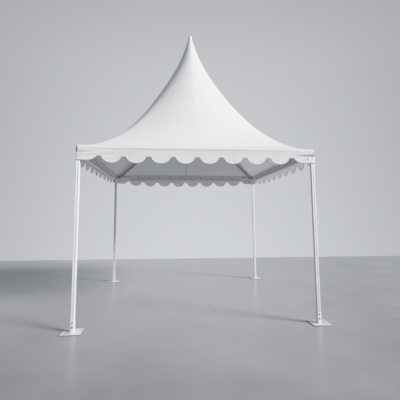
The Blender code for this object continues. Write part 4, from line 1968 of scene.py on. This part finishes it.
@dataclass
class CornerStraps:
    """Webbing that pulls the cover tight round each corner, seen through the slots, and dark patches behind
    the bands' short ends; the webbing's dark grey and the patches are painted shade in the slots and gaps.
    """

    cover: RoofCover
    end_at: float = 1.235
    stand_off: float = 0.0048        # from the posts' outer faces to the strap's middle
    corner_r: float = 0.006
    width: float = 0.040
    thickness: float = 0.0014
    patch_low: float = 2.072         # the dark patch behind each short end, painted shade in the corner gap
    patch_top: float = 2.168
    patch_end: float = 1.470
    patch_start: float = 0.004       # from the strap's corner to the patch, and from the strap's face to it
    patch_gap: float = 0.0002

    def build(self) -> list[Object]:
        """Sweeps the front right strap and patch by Geometry Nodes and turns them to each corner."""
        plan = self.cover.plan
        out = plan.post_at + plan.post / 2 + self.stand_off
        middle = (self.patch_low + self.patch_top) / 2
        made = []
        under = out - self.thickness - self.patch_gap
        beside = [Vector((under, y, middle)) for y in (self.patch_start - out, -self.patch_end)]
        for name, finish, width, path in (
                ("corner_straps", SHADE_STRAP, self.width, self.path(out)),
                ("corner_patches", SHADE_PATCH_WEBBING, self.patch_top - self.patch_low,
                 sweep_mesh(beside, [Vector((1.0, 0.0, 0.0))] * 2))):
            mesh = flat_strip_tree(finish).grow(name, {"Thickness": self.thickness, "Width": width}, path)
            made.append(shown(name, lay_cloth(joined([mesh], Corner.turns())), finish))
        return made

    def path(self, out: float) -> Mesh:
        """The strap's middle line round the front right corner.

        Args:
            out: How far it runs from the tent's middle.

        Returns:
            The line, with the way that the strap faces.
        """
        start, end = Vector((self.end_at, -out)), Vector((out, -self.end_at))
        bend = arc_corner(start, Vector((out, -out)), end, self.corner_r, 6)
        centre = Vector((out - self.corner_r, self.corner_r - out))
        flat = [start] + bend + [end]
        facings = [Vector((max(spot.x - centre.x, 0.0), min(spot.y - centre.y, 0.0), 0.0)).normalized()
                   for spot in flat]
        return sweep_mesh([Vector((*spot, self.cover.slot_z)) for spot in flat], facings)


def tube_along(points: Sequence[Vector], radius: float, sides: int = 10) -> Mesh:
    """A round tube along a path, closed at its ends.

    Args:
        points: The path's points.
        radius: The tube's radius.
        sides: The number of sides round it.

    Returns:
        The tube.
    """
    length, rings, lengths = 0.0, [], []
    side = None
    for index, at in enumerate(points):
        before, after = points[max(index - 1, 0)], points[min(index + 1, len(points) - 1)]
        way = (after - before).normalized()
        side = way.orthogonal() if side is None else side - way * side.dot(way)
        side.normalize()
        other = way.cross(side)
        length += (at - before).length
        lengths.append(length)
        rings.append([at + side * x + other * y for x, y in circle(0, 0, radius, sides)])
    return skinned(rings, lengths, capped=True)


@dataclass
class LacingHem:
    """The cover's inner hems, with their eyelets, and the rope that laces them to the beams."""

    plan: Plan
    thickness: float = 0.0014
    low: float = 2.100
    top: float = 2.1842
    half: float = 1.215
    pitch: float = 0.224
    intervals: int = 9
    level: float = 2.140
    eyelet_r: float = 0.0090
    eyelet_wire_r: float = 0.0036
    eyelet_lip: float = 0.0020       # from the hole's rim to the middle of the ring's wire
    proud: float = 0.0004            # how far the rings' middle stands off the hem
    wave: float = 0.0012             # height of the waves in the hem's free edge
    rope_r: float = 0.0034
    rope_off: float = 0.0012         # from the hem to the rope, and from its back to the rope's middle
    rope_behind: float = 0.0050
    rope_sag: float = 0.002
    strand_gap: float = 0.0045       # from an eyelet's middle to each strand in it
    tape_level: float = 2.099        # dark tape along the hem's lower edge, painted shade for the gap under the hem
    tape_width: float = 0.010
    tape_t: float = 0.0018
    columns: int = 60

    @property
    def face_y(self) -> float:
        """The hem's face towards the room, on the front side."""
        return -(self.plan.post_at - self.plan.post / 2) + self.plan.gap + self.thickness

    @property
    def eyelet_xs(self) -> list[float]:
        """The eyelets' places, from left to right."""
        return [self.pitch * (index - self.intervals / 2) for index in range(self.intervals + 1)]

    def hem_mesh(self) -> Mesh:
        """The front hem: a strip with a hole at each eyelet, slightly waved at its free edge."""
        holes = [circle(x, self.level, self.eyelet_r, 14) for x in self.eyelet_xs]
        steps = [i / self.columns for i in range(self.columns + 1)]
        lower = [((2 * s - 1) * self.half, self.low + self.wave * math.sin(s * 41.0) * math.sin(s * 17.0))
                 for s in steps]
        outline = lower + [(self.half, self.top), (-self.half, self.top)]
        flat = slab([outline] + holes, -self.thickness, 0.0, edge=0.0)
        stand = Matrix(((-1, 0, 0, 0), (0, 0, 1, self.face_y), (0, 1, 0, 0), (0, 0, 0, 1)))
        return lay_cloth(moved(flat, stand))

    def rope_path(self) -> list[Vector]:
        """The rope's line along the front hem: in front of it, and in and out of each eyelet."""
        front = self.face_y + self.rope_r + self.rope_off
        back = self.face_y - self.thickness - self.rope_behind
        points = []
        for x in self.eyelet_xs:
            for way in (-1, 1):
                turn = [(2.6, 0.0), (1.7, 0.10), (1.25, 0.35), (1.05, 0.65), (1.0, 0.9), (0.5, 1.0)]
                for aside, deep in (turn if way < 0 else reversed(turn)):
                    points.append(Vector((x + way * aside * self.strand_gap, front + (back - front) * deep,
                                          self.level)))
            points.append(Vector((x + self.pitch / 2, front + self.rope_sag / 2, self.level - self.rope_sag)))
        return points[:-1]

    def eyelet_tree(self) -> Tree:
        """A tree that sets a rolled eyelet ring on each point, along the point's facing.

        Its inputs are Ring_Radius and Wire_Radius.
        """
        tree = Tree("eyelets", takes_geometry=True)
        ring, wire = [tree.add("GeometryNodeCurvePrimitiveCircle", Resolution=sides, Radius=tree.size(name))
                      for sides, name in ((20, "Ring_Radius"), (8, "Wire_Radius"))]
        swept = tree.add("GeometryNodeCurveToMesh", Curve=ring.outputs[0], Profile_Curve=wire.outputs[0])
        flat = tree.add("GeometryNodeTransform", Geometry=swept.outputs[0], Scale=(1.0, 1.0, 0.7))
        tree.close(tree.set_on_points(flat.outputs[0]), DARK_ZINC_AND_SHADE.material())
        return tree

    def build(self) -> list[Object]:
        """Builds hems, eyelets and ropes on all four sides."""
        made = []
        hem = self.hem_mesh()
        for side in Side:
            # the hems' darker cloth is painted shade
            piece = stood(side, "lacing_hem", "lacing_flap", hem, SHADED_HEM_FABRIC)
            2 * self.half
            self.top - self.low
            made.append(piece)
        spots = [(side.turn @ Vector((x, self.face_y + self.proud, self.level)), side.out * -1)
                 for side in Side for x in self.eyelet_xs]
        sizes = {"Ring_Radius": self.eyelet_r + self.eyelet_lip, "Wire_Radius": self.eyelet_wire_r}
        rings = self.eyelet_tree().grow("eyelets", sizes, sweep_mesh(*zip(*spots), loose=True))
        made.append(shown("lacing_eyelets", rings, DARK_ZINC_AND_SHADE, crease=None))
        # dark tapes along the hems' lower edges: painted shade for the gap between hem and beam
        ends = [Vector((sign * (self.half - 0.004), self.face_y + self.tape_t / 2 + 0.0002, self.tape_level))
                for sign in (-1, 1)]
        tape = flat_strip_tree(SHADE_STRAP).grow("tape", {"Thickness": self.tape_t, "Width": self.tape_width},
                                           sweep_mesh(ends, [Vector((0.0, 1.0, 0.0))] * 2))
        made.append(shown("hem_tapes", lay_cloth(joined([tape], Side.turns())), SHADE_STRAP))
        rope = tube_along(self.rope_path(), self.rope_r)
        made.append(shown("lacing_ropes", joined([rope], Side.turns()), ROPE, crease=None))
        return made


@dataclass
class Fasteners:
    """Gathers the places of hexagon bolts, which one tree then sets all at once."""

    flats: float = 0.013
    head: float = 0.0053
    washer_r: float = 0.0085
    washer_t: float = 0.0015
    spots: list[Vector] = field(default_factory=list)
    ways: list[Vector] = field(default_factory=list)

    def add(self, spot: Vector, way: Vector, turns: Iterable[Matrix]) -> None:
        """Adds one bolt at every turn.

        Args:
            spot: Where its washer lies.
            way: The direction of its head.
            turns: The corners or sides that have it.
        """
        for turn in turns:
            self.spots.append(turn @ spot)
            self.ways.append(turn @ way)

    def build(self) -> Object:
        """Builds every bolt by Geometry Nodes."""
        sizes = {"Across_Flats": self.flats, "Head_Height": self.head, "Washer_Radius": self.washer_r,
                 "Washer_Thickness": self.washer_t}
        mesh = hex_bolt_tree(DARK_ZINC_AND_SHADE).grow("bolts", sizes, sweep_mesh(self.spots, self.ways, loose=True))
        return shown("hexagon_bolts", mesh, DARK_ZINC_AND_SHADE, crease=30.0)


@dataclass
class Feet:
    """Foot plates with anchor holes, sleeves welded on them, and the bolts that hold the posts."""

    plan: Plan
    bolts: Fasteners
    plate_half: float = 0.114
    corner_r: float = 0.006
    plate_t: float = 0.008
    plate_edge: float = 0.0009
    hole_inset: float = 0.086
    hole_r: float = 0.007
    sleeve_in: float = 0.0213
    sleeve_out: float = 0.0243
    sleeve_top: float = 0.1353
    outer_r: float = 0.0035          # rounding of the sleeves' outer and inner corners
    inner_r: float = 0.0012
    bolt_levels: tuple[float, float] = (0.061, 0.113)
    bead_r: float = 0.0030
    bead_pitch: float = 0.0034
    bead_off: float = 0.0006         # from sleeve and plate to the bead's middle
    bead_turn: float = 0.004         # rounding of its path at the sleeve's corners

    def build(self) -> list[Object]:
        """Builds the four feet."""
        made = []
        plan = self.plan
        signs = [(x, y) for x in (-1, 1) for y in (-1, 1)]
        holes = [circle(x * self.hole_inset, y * self.hole_inset, self.hole_r) for x, y in signs]
        outline = rounded_square(self.plate_half, self.corner_r, 5)
        plate = moved(slab([outline] + holes, 0.0, self.plate_t, edge=self.plate_edge), plan.at_corner)
        walls = [rounded_square(self.sleeve_out, self.outer_r), rounded_square(self.sleeve_in, self.inner_r)]
        sleeve = moved(slab(walls, self.plate_t + plan.gap, self.sleeve_top), plan.at_corner)
        for corner in Corner:
            made += [stood(corner, "foot_plate", "base_plate", plate, PLATE_COAT),
                     stood(corner, "post_sleeve", "foot_sleeve", sleeve, PLATE_COAT)]
        made.append(self.weld())
        for x, y in signs:
            for level in self.bolt_levels:
                for sign in (-1, 1):
                    at = Vector((x * plan.post_at, y * plan.post_at + sign * self.sleeve_out, level))
                    self.bolts.add(at, Vector((0.0, sign, 0.0)), [Matrix()])
        return made

    def weld(self) -> Object:
        """Builds the weld bead round each sleeve's foot by Geometry Nodes."""
        ring = rounded_square(self.sleeve_out + self.bead_off, self.bead_turn)
        points = [self.plan.at_corner @ Vector((x, y, self.plate_t + self.bead_off)) for x, y in ring]
        path = sweep_mesh(points, [Vector((0, 0, 1))] * len(points), closed=True)
        sizes = {"Pitch": self.bead_pitch, "Radius": self.bead_r}
        bead = weld_bead_tree(PLATE_COAT).grow("weld", sizes, path)
        return shown("sleeve_welds", joined([bead], Corner.turns()), PLATE_COAT, crease=None)


@dataclass
class Posts:
    """Grooved corner posts."""

    plan: Plan
    foot: float = 0.0083
    groove_w: float = 0.008
    groove_d: float = 0.006
    edge_r: float = 0.0020
    groove_r: float = 0.0007
    end_edge: float = 0.0005

    def outline(self) -> list[Point]:
        """The extrusion's section: rounded edges, and a keder groove in each face."""
        half, groove, floor = self.plan.post / 2, self.groove_w / 2, self.plan.post / 2 - self.groove_d
        face = [(-half, -half), (-groove, -half), (-groove, -floor), (groove, -floor), (groove, -half)]
        loop = [tuple(Matrix.Rotation(quarter * QUARTER, 2) @ Vector(point)) for quarter in range(4)
                for point in face]
        return filleted(loop, [self.edge_r, *[self.groove_r] * 4] * 4)

    def build(self) -> list[Object]:
        """Builds the four posts."""
        mesh = slab([self.outline()], self.foot, self.plan.post_top, edge=self.end_edge)
        mesh = moved(mesh, self.plan.at_corner)
        return [stood(corner, "corner_post", "post", mesh, FRAME_COAT) for corner in Corner]


@dataclass
class EaveBeams:
    """Eave beams: rounded extrusions with a keder groove outside and a rope channel inside."""

    plan: Plan
    width: float = 0.042
    edge_r: float = 0.004
    channel_z: float = 2.140
    channel_half: float = 0.0055
    channel_d: float = 0.0090
    groove_z: float = 2.150
    groove_half: float = 0.003
    groove_d: float = 0.008
    lip_r: float = 0.0007            # rounding of the channel's and the groove's edges

    def outline(self) -> list[Point]:
        """The section, across and up, with the outer side at negative x."""
        half, low, top = self.width / 2, self.plan.beam_low, self.plan.beam_top
        loop = [(-half, low), (half, low)]
        loop += self.cut(half, -self.channel_d, self.channel_z, self.channel_half)
        loop += [(half, top), (-half, top)]
        loop += self.cut(-half, self.groove_d, self.groove_z, -self.groove_half)
        return filleted(loop, [*[self.edge_r] * 2, *[self.lip_r] * 4] * 2)

    def cut(self, face: float, depth: float, level: float, half: float) -> list[Point]:
        """The corners of a cut in an upright face, down to up, or up to down where half is negative."""
        return [(face + deep, level + way * half) for deep, way in ((0, -1), (depth, -1), (depth, 1), (0, 1))]

    def build(self) -> list[Object]:
        """Builds the four beams."""
        lay = Matrix(((0, 0, 1, 0), (1, 0, 0, -self.plan.post_at), (0, 1, 0, 0), (0, 0, 0, 1)))
        mesh = moved(slab([self.outline()], -self.plan.beam_half, self.plan.beam_half), lay)
        return [stood(side, "eave_rail", "eave_beam", mesh, FRAME_COAT) for side in Side]


@dataclass
class CornerConnectors:
    """Caps over the posts, with two arms into the beams and a cup for the hip strut."""

    plan: Plan
    bolts: Fasteners
    socket_in: float = 0.0213
    socket_out: float = 0.0243
    socket_low: float = 2.030
    arm_w: float = 0.034
    arm_h: float = 0.076
    arm_ease: float = 0.003
    outer_r: float = 0.004           # rounding of the socket's outer and inner corners
    inner_r: float = 0.0012
    lid_inset: float = 0.0004
    cup_root: float = 0.012
    lid_t: float = 0.0015            # how far the lid stands over the socket's wall, and an arm's root in it
    bolt_from: float = 0.16          # from a beam's end to the bolt on the arm

    @property
    def level(self) -> float:
        """The height of the arms' middle."""
        return (self.plan.beam_low + self.plan.beam_top) / 2

    def build(self) -> list[Object]:
        """Builds the four connectors."""
        plan = self.plan
        walls = [rounded_square(self.socket_out, self.outer_r), rounded_square(self.socket_in, self.inner_r)]
        lid = rounded_square(self.socket_out - self.lid_inset, self.outer_r)
        parts = [moved(slab(walls, self.socket_low, plan.beam_top - self.lid_t), plan.at_corner),
                 moved(slab([lid], plan.post_top + plan.gap, plan.beam_top, edge=self.lid_t), plan.at_corner)]
        inner, reach = plan.post_at - self.socket_out + self.lid_t, plan.beam_half + plan.gap
        low, high = self.level - self.arm_h / 2, self.level + self.arm_h / 2
        near, far = plan.post_at - self.arm_w / 2, plan.post_at + self.arm_w / 2
        parts += [block((reach, -far, low), (inner, -near, high), self.arm_ease),
                  block((near, -inner, low), (far, -reach, high), self.arm_ease), self.cup()]
        mesh = joined(parts)
        self.bolt_arms()
        return [stood(corner, "corner_joint", "corner_connector", mesh, FRAME_COAT)
                for corner in Corner]

    def cup(self) -> Mesh:
        """The inclined cup that takes the hip strut's foot."""
        plan = self.plan
        direction = plan.strut_direction
        start = plan.strut_axis(plan.post_at - plan.post / 2 + self.cup_root)
        floor = (plan.strut_axis(plan.strut_end_r) - direction * plan.gap - start).length
        return plan.strut_cup(floor + plan.gap + plan.cup_depth, floor, along(start, start + direction))

    def bolt_arms(self) -> None:
        """Places a bolt on the room's side of each arm, midway up."""
        x, inner = self.plan.beam_half + self.bolt_from, self.plan.post_at - self.arm_w / 2
        self.bolts.add(Vector((x, -inner, self.level)), Vector((0.0, 1.0, 0.0)), Corner.turns())
        self.bolts.add(Vector((inner, -x, self.level)), Vector((-1.0, 0.0, 0.0)), Corner.turns())


@dataclass
class RoofFrame:
    """Hip struts, the crown that they meet in, the king pole on it and the cap at the peak."""

    plan: Plan
    cover: RoofCover
    crown_h: float = 0.120
    crown_floor: float = 0.012
    crown_ease: float = 0.003
    crown_cup_root: float = 0.025
    pole_r: float = 0.021
    pole_foot: float = 3.010
    pole_top: float = 4.440
    socket_root: float = 0.006
    socket_rise: float = 0.050
    peak_top: float = 4.540
    cap_lip: float = 0.001
    cap_skirt: float = 0.018
    cap_wall: float = 0.0060
    button_from: float = 0.018       # from a cup's rim to the spring button, and its root in the tube
    button_root: float = 0.001

    @property
    def strut_low(self) -> Vector:
        """The front right strut's lower end."""
        return self.plan.strut_axis(self.plan.strut_end_r)

    @property
    def strut_high(self) -> Vector:
        """The front right strut's upper end."""
        away = self.plan.crown_r + self.crown_floor
        return self.plan.strut_axis(0.0) - self.plan.strut_direction * away

    def struts(self) -> list[Object]:
        """Builds the hip struts, each with a spring button beside its ends."""
        low, high = self.strut_low, self.strut_high
        radius = self.plan.strut_r
        parts = [rod(low, high, radius, 40)]
        direction = self.plan.strut_direction
        side = direction.cross(Vector((0, 0, 1))).normalized()
        button = [(0, 0), (0.0042, 0), (0.0042, 0.0025), (0.003, 0.0042), (0, 0.005)]
        inwards = direction * (self.plan.cup_depth + self.button_from)
        for at in (low + inwards, high - inwards):
            spot = at + side * (radius - self.button_root)
            parts.append(turned(button, 14, along(spot, spot + side)))
        mesh = joined(parts)
        return [stood(corner, "hip_tube", "hip_strut", mesh, SHADED_DRAWN_TUBE) for corner in Corner]

    def crown(self) -> Object:
        """Builds the hub with its four strut cups and the king pole's socket."""
        plan, gap = self.plan, self.plan.gap
        middle = plan.strut_axis(0.0).z
        low, high = middle - self.crown_h / 2, middle + self.crown_h / 2
        r, ease, bore = plan.crown_r, self.crown_ease, self.pole_r + gap
        hub = [(0, low), (r - ease, low), (r - ease * 0.3, low + ease * 0.3), (r, low + ease),
               (r, high - ease), (r - ease * 0.3, high - ease * 0.3), (r - ease, high),
               (bore, high), (bore, self.pole_foot - gap), (0, self.pole_foot - gap)]
        parts = [turned(hub, 48)]
        direction = plan.strut_direction
        start = self.strut_high + direction * self.crown_cup_root
        end = self.strut_high - direction * plan.cup_depth
        for corner in Corner:
            parts.append(plan.strut_cup((end - start).length, self.crown_cup_root - gap,
                                        corner.turn @ along(start, end)))
        foot, top = Vector((0, 0, high - self.socket_root)), Vector((0, 0, high + self.socket_rise))
        parts.append(pipe(foot, top, bore + plan.cup_wall, bore))
        piece = shown("crown_hub", joined(parts), SHADED_DRAWN_TUBE)
        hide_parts("crown")
        return piece

    def king_pole(self) -> Object:
        """Builds the king pole."""
        mesh = rod(Vector((0, 0, self.pole_foot)), Vector((0, 0, self.pole_top)), self.pole_r, 40)
        piece = shown("mast_tube", mesh, SHADED_DRAWN_TUBE)
        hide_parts("king_pole")
        return piece

    def cap(self) -> Object:
        """Builds the domed cap with its plug on the king pole."""
        gap = self.plan.gap
        rim = self.plan.peak_ring + self.cap_lip
        ring_top = self.cover.height(self.plan.peak_ring / math.sqrt(2)) + gap
        rim_z = ring_top + self.cap_skirt
        plug = self.plan.peak_ring - self.cap_wall
        steps = 14
        dome = [(rim * math.sin(a), rim_z + (self.peak_top - rim_z) * math.cos(a))
                for a in (QUARTER * i / steps for i in range(steps + 1))]
        ease = 0.0008
        lip = [(rim, ring_top + ease), (rim - ease, ring_top), (plug, ring_top),
               (plug, self.pole_top + gap), (0, self.pole_top + gap)]
        profile = [(max(r, 0.0), z) for r, z in reversed(dome + lip)]
        profile[-1] = (0.0, self.peak_top)
        piece = shown("spire_cap", turned(profile, 48), CAP_MOULDING)
        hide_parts("peak_cap")
        return piece

    def build(self) -> list[Object]:
        """Builds the whole roof frame."""
        return self.struts() + [self.crown(), self.king_pole(), self.cap()]


@dataclass(frozen=True)
class SoftLight:
    """A distant soft lamp."""

    name: str
    towards: tuple[float, float, float]    # from the tent to the lamp
    strength: float
    spread: float                          # how wide the lamp looks, in radians
    colour: tuple[float, float, float]

    def build(self) -> None:
        """Sets the lamp."""
        data = bpy.data.lights.new(self.name, "SUN")
        data.energy = self.strength
        data.angle = self.spread
        data.color = self.colour
        lamp = bpy.data.objects.new(self.name, data)
        lamp.rotation_euler = Vector(self.towards).to_track_quat("Z", "Y").to_euler()
        bpy.context.scene.collection.objects.link(lamp)


@dataclass(frozen=True)
class Studio:
    """The plain floor, the pale surround and the lights."""

    heading: Vector                  # across the photograph's view
    key: SoftLight = SoftLight("key_light", (0.790, -0.457, 0.407), 4.42, 0.33, (1.0, 0.99, 0.975))
    ambient: tuple[float, float, float] = (0.262, 0.278, 0.295)
    shoulder: tuple[tuple[float, float], ...] = ((0.0, 0.0), (0.70, 0.70), (0.95, 0.855), (1.5, 0.955))
    edge_fall: float = 0.93          # how much darker the surround is towards both sides, and where it ends
    fall_end: float = 0.35
    wall_tones: tuple[tuple[float, float], ...] = (   # sine of the view's height, and grey of the wall
        (-0.15, 0.832), (0.08, 0.808), (0.26, 0.785), (0.42, 0.759), (0.49, 0.735), (0.557, 0.704))
    wall_tint: tuple[float, float, float] = (0.984, 1.0, 1.013)
    floor_half: float = 9.0
    floor_near: float = -9.0
    floor_far: float = 4.953
    floor_slant: float = 0.0369

    def build(self) -> None:
        """Builds lights, surround and floor."""
        scene = bpy.context.scene
        scene.view_settings.view_transform = "Standard"
        self.soften_highlights(scene.view_settings)
        self.key.build()
        self.surround()
        near, far, half = self.floor_near, self.floor_far, self.floor_half
        slant = self.floor_slant * half
        outline = [(-half, near), (half, near), (half, far - slant), (-half, far + slant)]
        mesh = slab([outline], -0.02, 0.0, edge=0.0)
        mesh.materials.append(FLOOR.material())
        floor = bpy.data.objects.new("studio_floor", mesh)
        scene.collection.objects.link(floor)

    def soften_highlights(self, view: bpy.types.ColorManagedViewSettings) -> None:
        """Gives the brightest tones a soft shoulder, as a camera does.

        Args:
            view: The scene's view settings.
        """
        view.use_curve_mapping = True
        curves = view.curve_mapping
        curves.use_clip = False
        curve = curves.curves[3]
        for place, (light, tone) in enumerate(self.shoulder):
            if place in (0, 1):
                curve.points[place].location = (light, tone)
            else:
                curve.points.new(light, tone)
        curves.update()

    def surround(self) -> None:
        """Shades the surround by height where it is seen, and lights evenly with a paler grey."""
        world = bpy.data.worlds.new("studio")
        bpy.context.scene.world = world
        world.use_nodes = True
        net = Net(world.node_tree)
        ahead = net.add("ShaderNodeTexCoord").outputs["Generated"]
        height = net.add("ShaderNodeSeparateXYZ", Vector=ahead).outputs["Z"]
        low, high = self.wall_tones[0][0], self.wall_tones[-1][0]
        spread = net.add("ShaderNodeMapRange", Value=height, From_Min=low, From_Max=high)
        ramp = net.add("ShaderNodeValToRGB")
        net.feed(ramp.inputs[0], spread.outputs[0])
        stops = ramp.color_ramp.elements
        while len(stops) < len(self.wall_tones):
            stops.new(0.5)
        for stop, (level, tone) in zip(stops, self.wall_tones):
            stop.position = (level - low) / (high - low)
            stop.color = (*(linear(tone * tint) for tint in self.wall_tint), 1.0)
        across = net.add("ShaderNodeVectorMath", {"operation": "DOT_PRODUCT"})
        net.feed(across.inputs[0], ahead)
        net.feed(across.inputs[1], self.heading)
        away = across.outputs["Value"]
        held = net.math("MINIMUM", net.math("MULTIPLY", away, away), self.fall_end)
        seen = world.node_tree.nodes["Background"]
        net.feed(seen.inputs["Color"], ramp.outputs[0])
        net.feed(seen.inputs["Strength"], net.math("MULTIPLY_ADD", held, -self.edge_fall, 1.0))
        even = net.add("ShaderNodeBackground", Color=(*self.ambient, 1.0))
        mixed = net.add("ShaderNodeMixShader")
        rays = net.add("ShaderNodeLightPath").outputs["Is Camera Ray"]
        for socket, source in zip(mixed.inputs, (rays, even.outputs[0], seen.outputs[0])):
            net.feed(socket, source)
        net.feed(world.node_tree.nodes["World Output"].inputs["Surface"], mixed.outputs[0])


def linear(tone: float) -> float:
    """The light behind a screen tone from 0 to 1."""
    return tone / 12.92 if tone <= 0.04045 else ((tone + 0.055) / 1.055) ** 2.4


@dataclass(frozen=True)
class PhotoCamera:
    """The camera, at the photograph's place, direction and framing."""

    place: tuple[float, float, float] = (-0.4006, -5.5213, 1.3256)
    pan: float = 5.3656              # degrees that it looks to the right, up, and leans to the left
    tilt: float = 6.2492
    roll: float = -0.3164
    image: float = 400.0             # width and height, focal length and middle of the view, in pixels
    focal: float = 325.909
    middle: tuple[float, float] = (197.479, 180.364)
    sensor: float = 36.0             # millimetres
    reach: float = 100.0

    @property
    def turn(self) -> Matrix:
        """The camera's turn from looking straight down."""
        pan, tilt, roll = (math.radians(angle) for angle in (-self.pan, 90.0 + self.tilt, self.roll))
        return Matrix.Rotation(pan, 4, "Z") @ Matrix.Rotation(tilt, 4, "X") @ Matrix.Rotation(roll, 4, "Z")

    @property
    def across(self) -> Vector:
        """The direction across the view, to the right."""
        return self.turn @ Vector((1.0, 0.0, 0.0))

    def build(self) -> None:
        """Sets the scene's camera."""
        data = bpy.data.cameras.new("camera")
        data.sensor_width = self.sensor
        data.lens = self.focal / self.image * self.sensor
        data.shift_x = 0.5 - self.middle[0] / self.image
        data.shift_y = self.middle[1] / self.image - 0.5
        data.clip_end = self.reach
        obj = bpy.data.objects.new("camera", data)
        obj.matrix_world = Matrix.Translation(self.place) @ self.turn
        bpy.context.scene.collection.objects.link(obj)
        bpy.context.scene.camera = obj


def main() -> None:
    """Builds every sub-assembly over the frame, in order."""
    logging.basicConfig(level=logging.INFO, format="%(message)s")
    for left_over in [o for o in bpy.data.objects if o.name in ("Cube", "Light", "Camera")]:
        bpy.data.objects.remove(left_over)
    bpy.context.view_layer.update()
    camera = PhotoCamera()
    camera.build()
    Studio(camera.across).build()
    plan = Plan.from_frame()
    cover = RoofCover(plan)
    grommets = CornerGrommets(cover)
    bolts = Fasteners()
    pieces = [cover.build()]
    grommets.punch(pieces[0])
    pieces += SeamBands(cover).build() + [EdgeBinding(cover).build()] + grommets.build()
    pieces += CornerStraps(cover).build()
    pieces += LacingHem(plan).build()
    pieces += Feet(plan, bolts).build()
    pieces += Posts(plan).build()
    pieces += EaveBeams(plan).build()
    pieces += CornerConnectors(plan, bolts).build()
    pieces += RoofFrame(plan, cover).build()
    pieces.append(bolts.build())
    for piece in pieces:
        log.info("%s: %d faces", piece.name, len(piece.data.polygons))


if __name__ == "__main__":
    main()
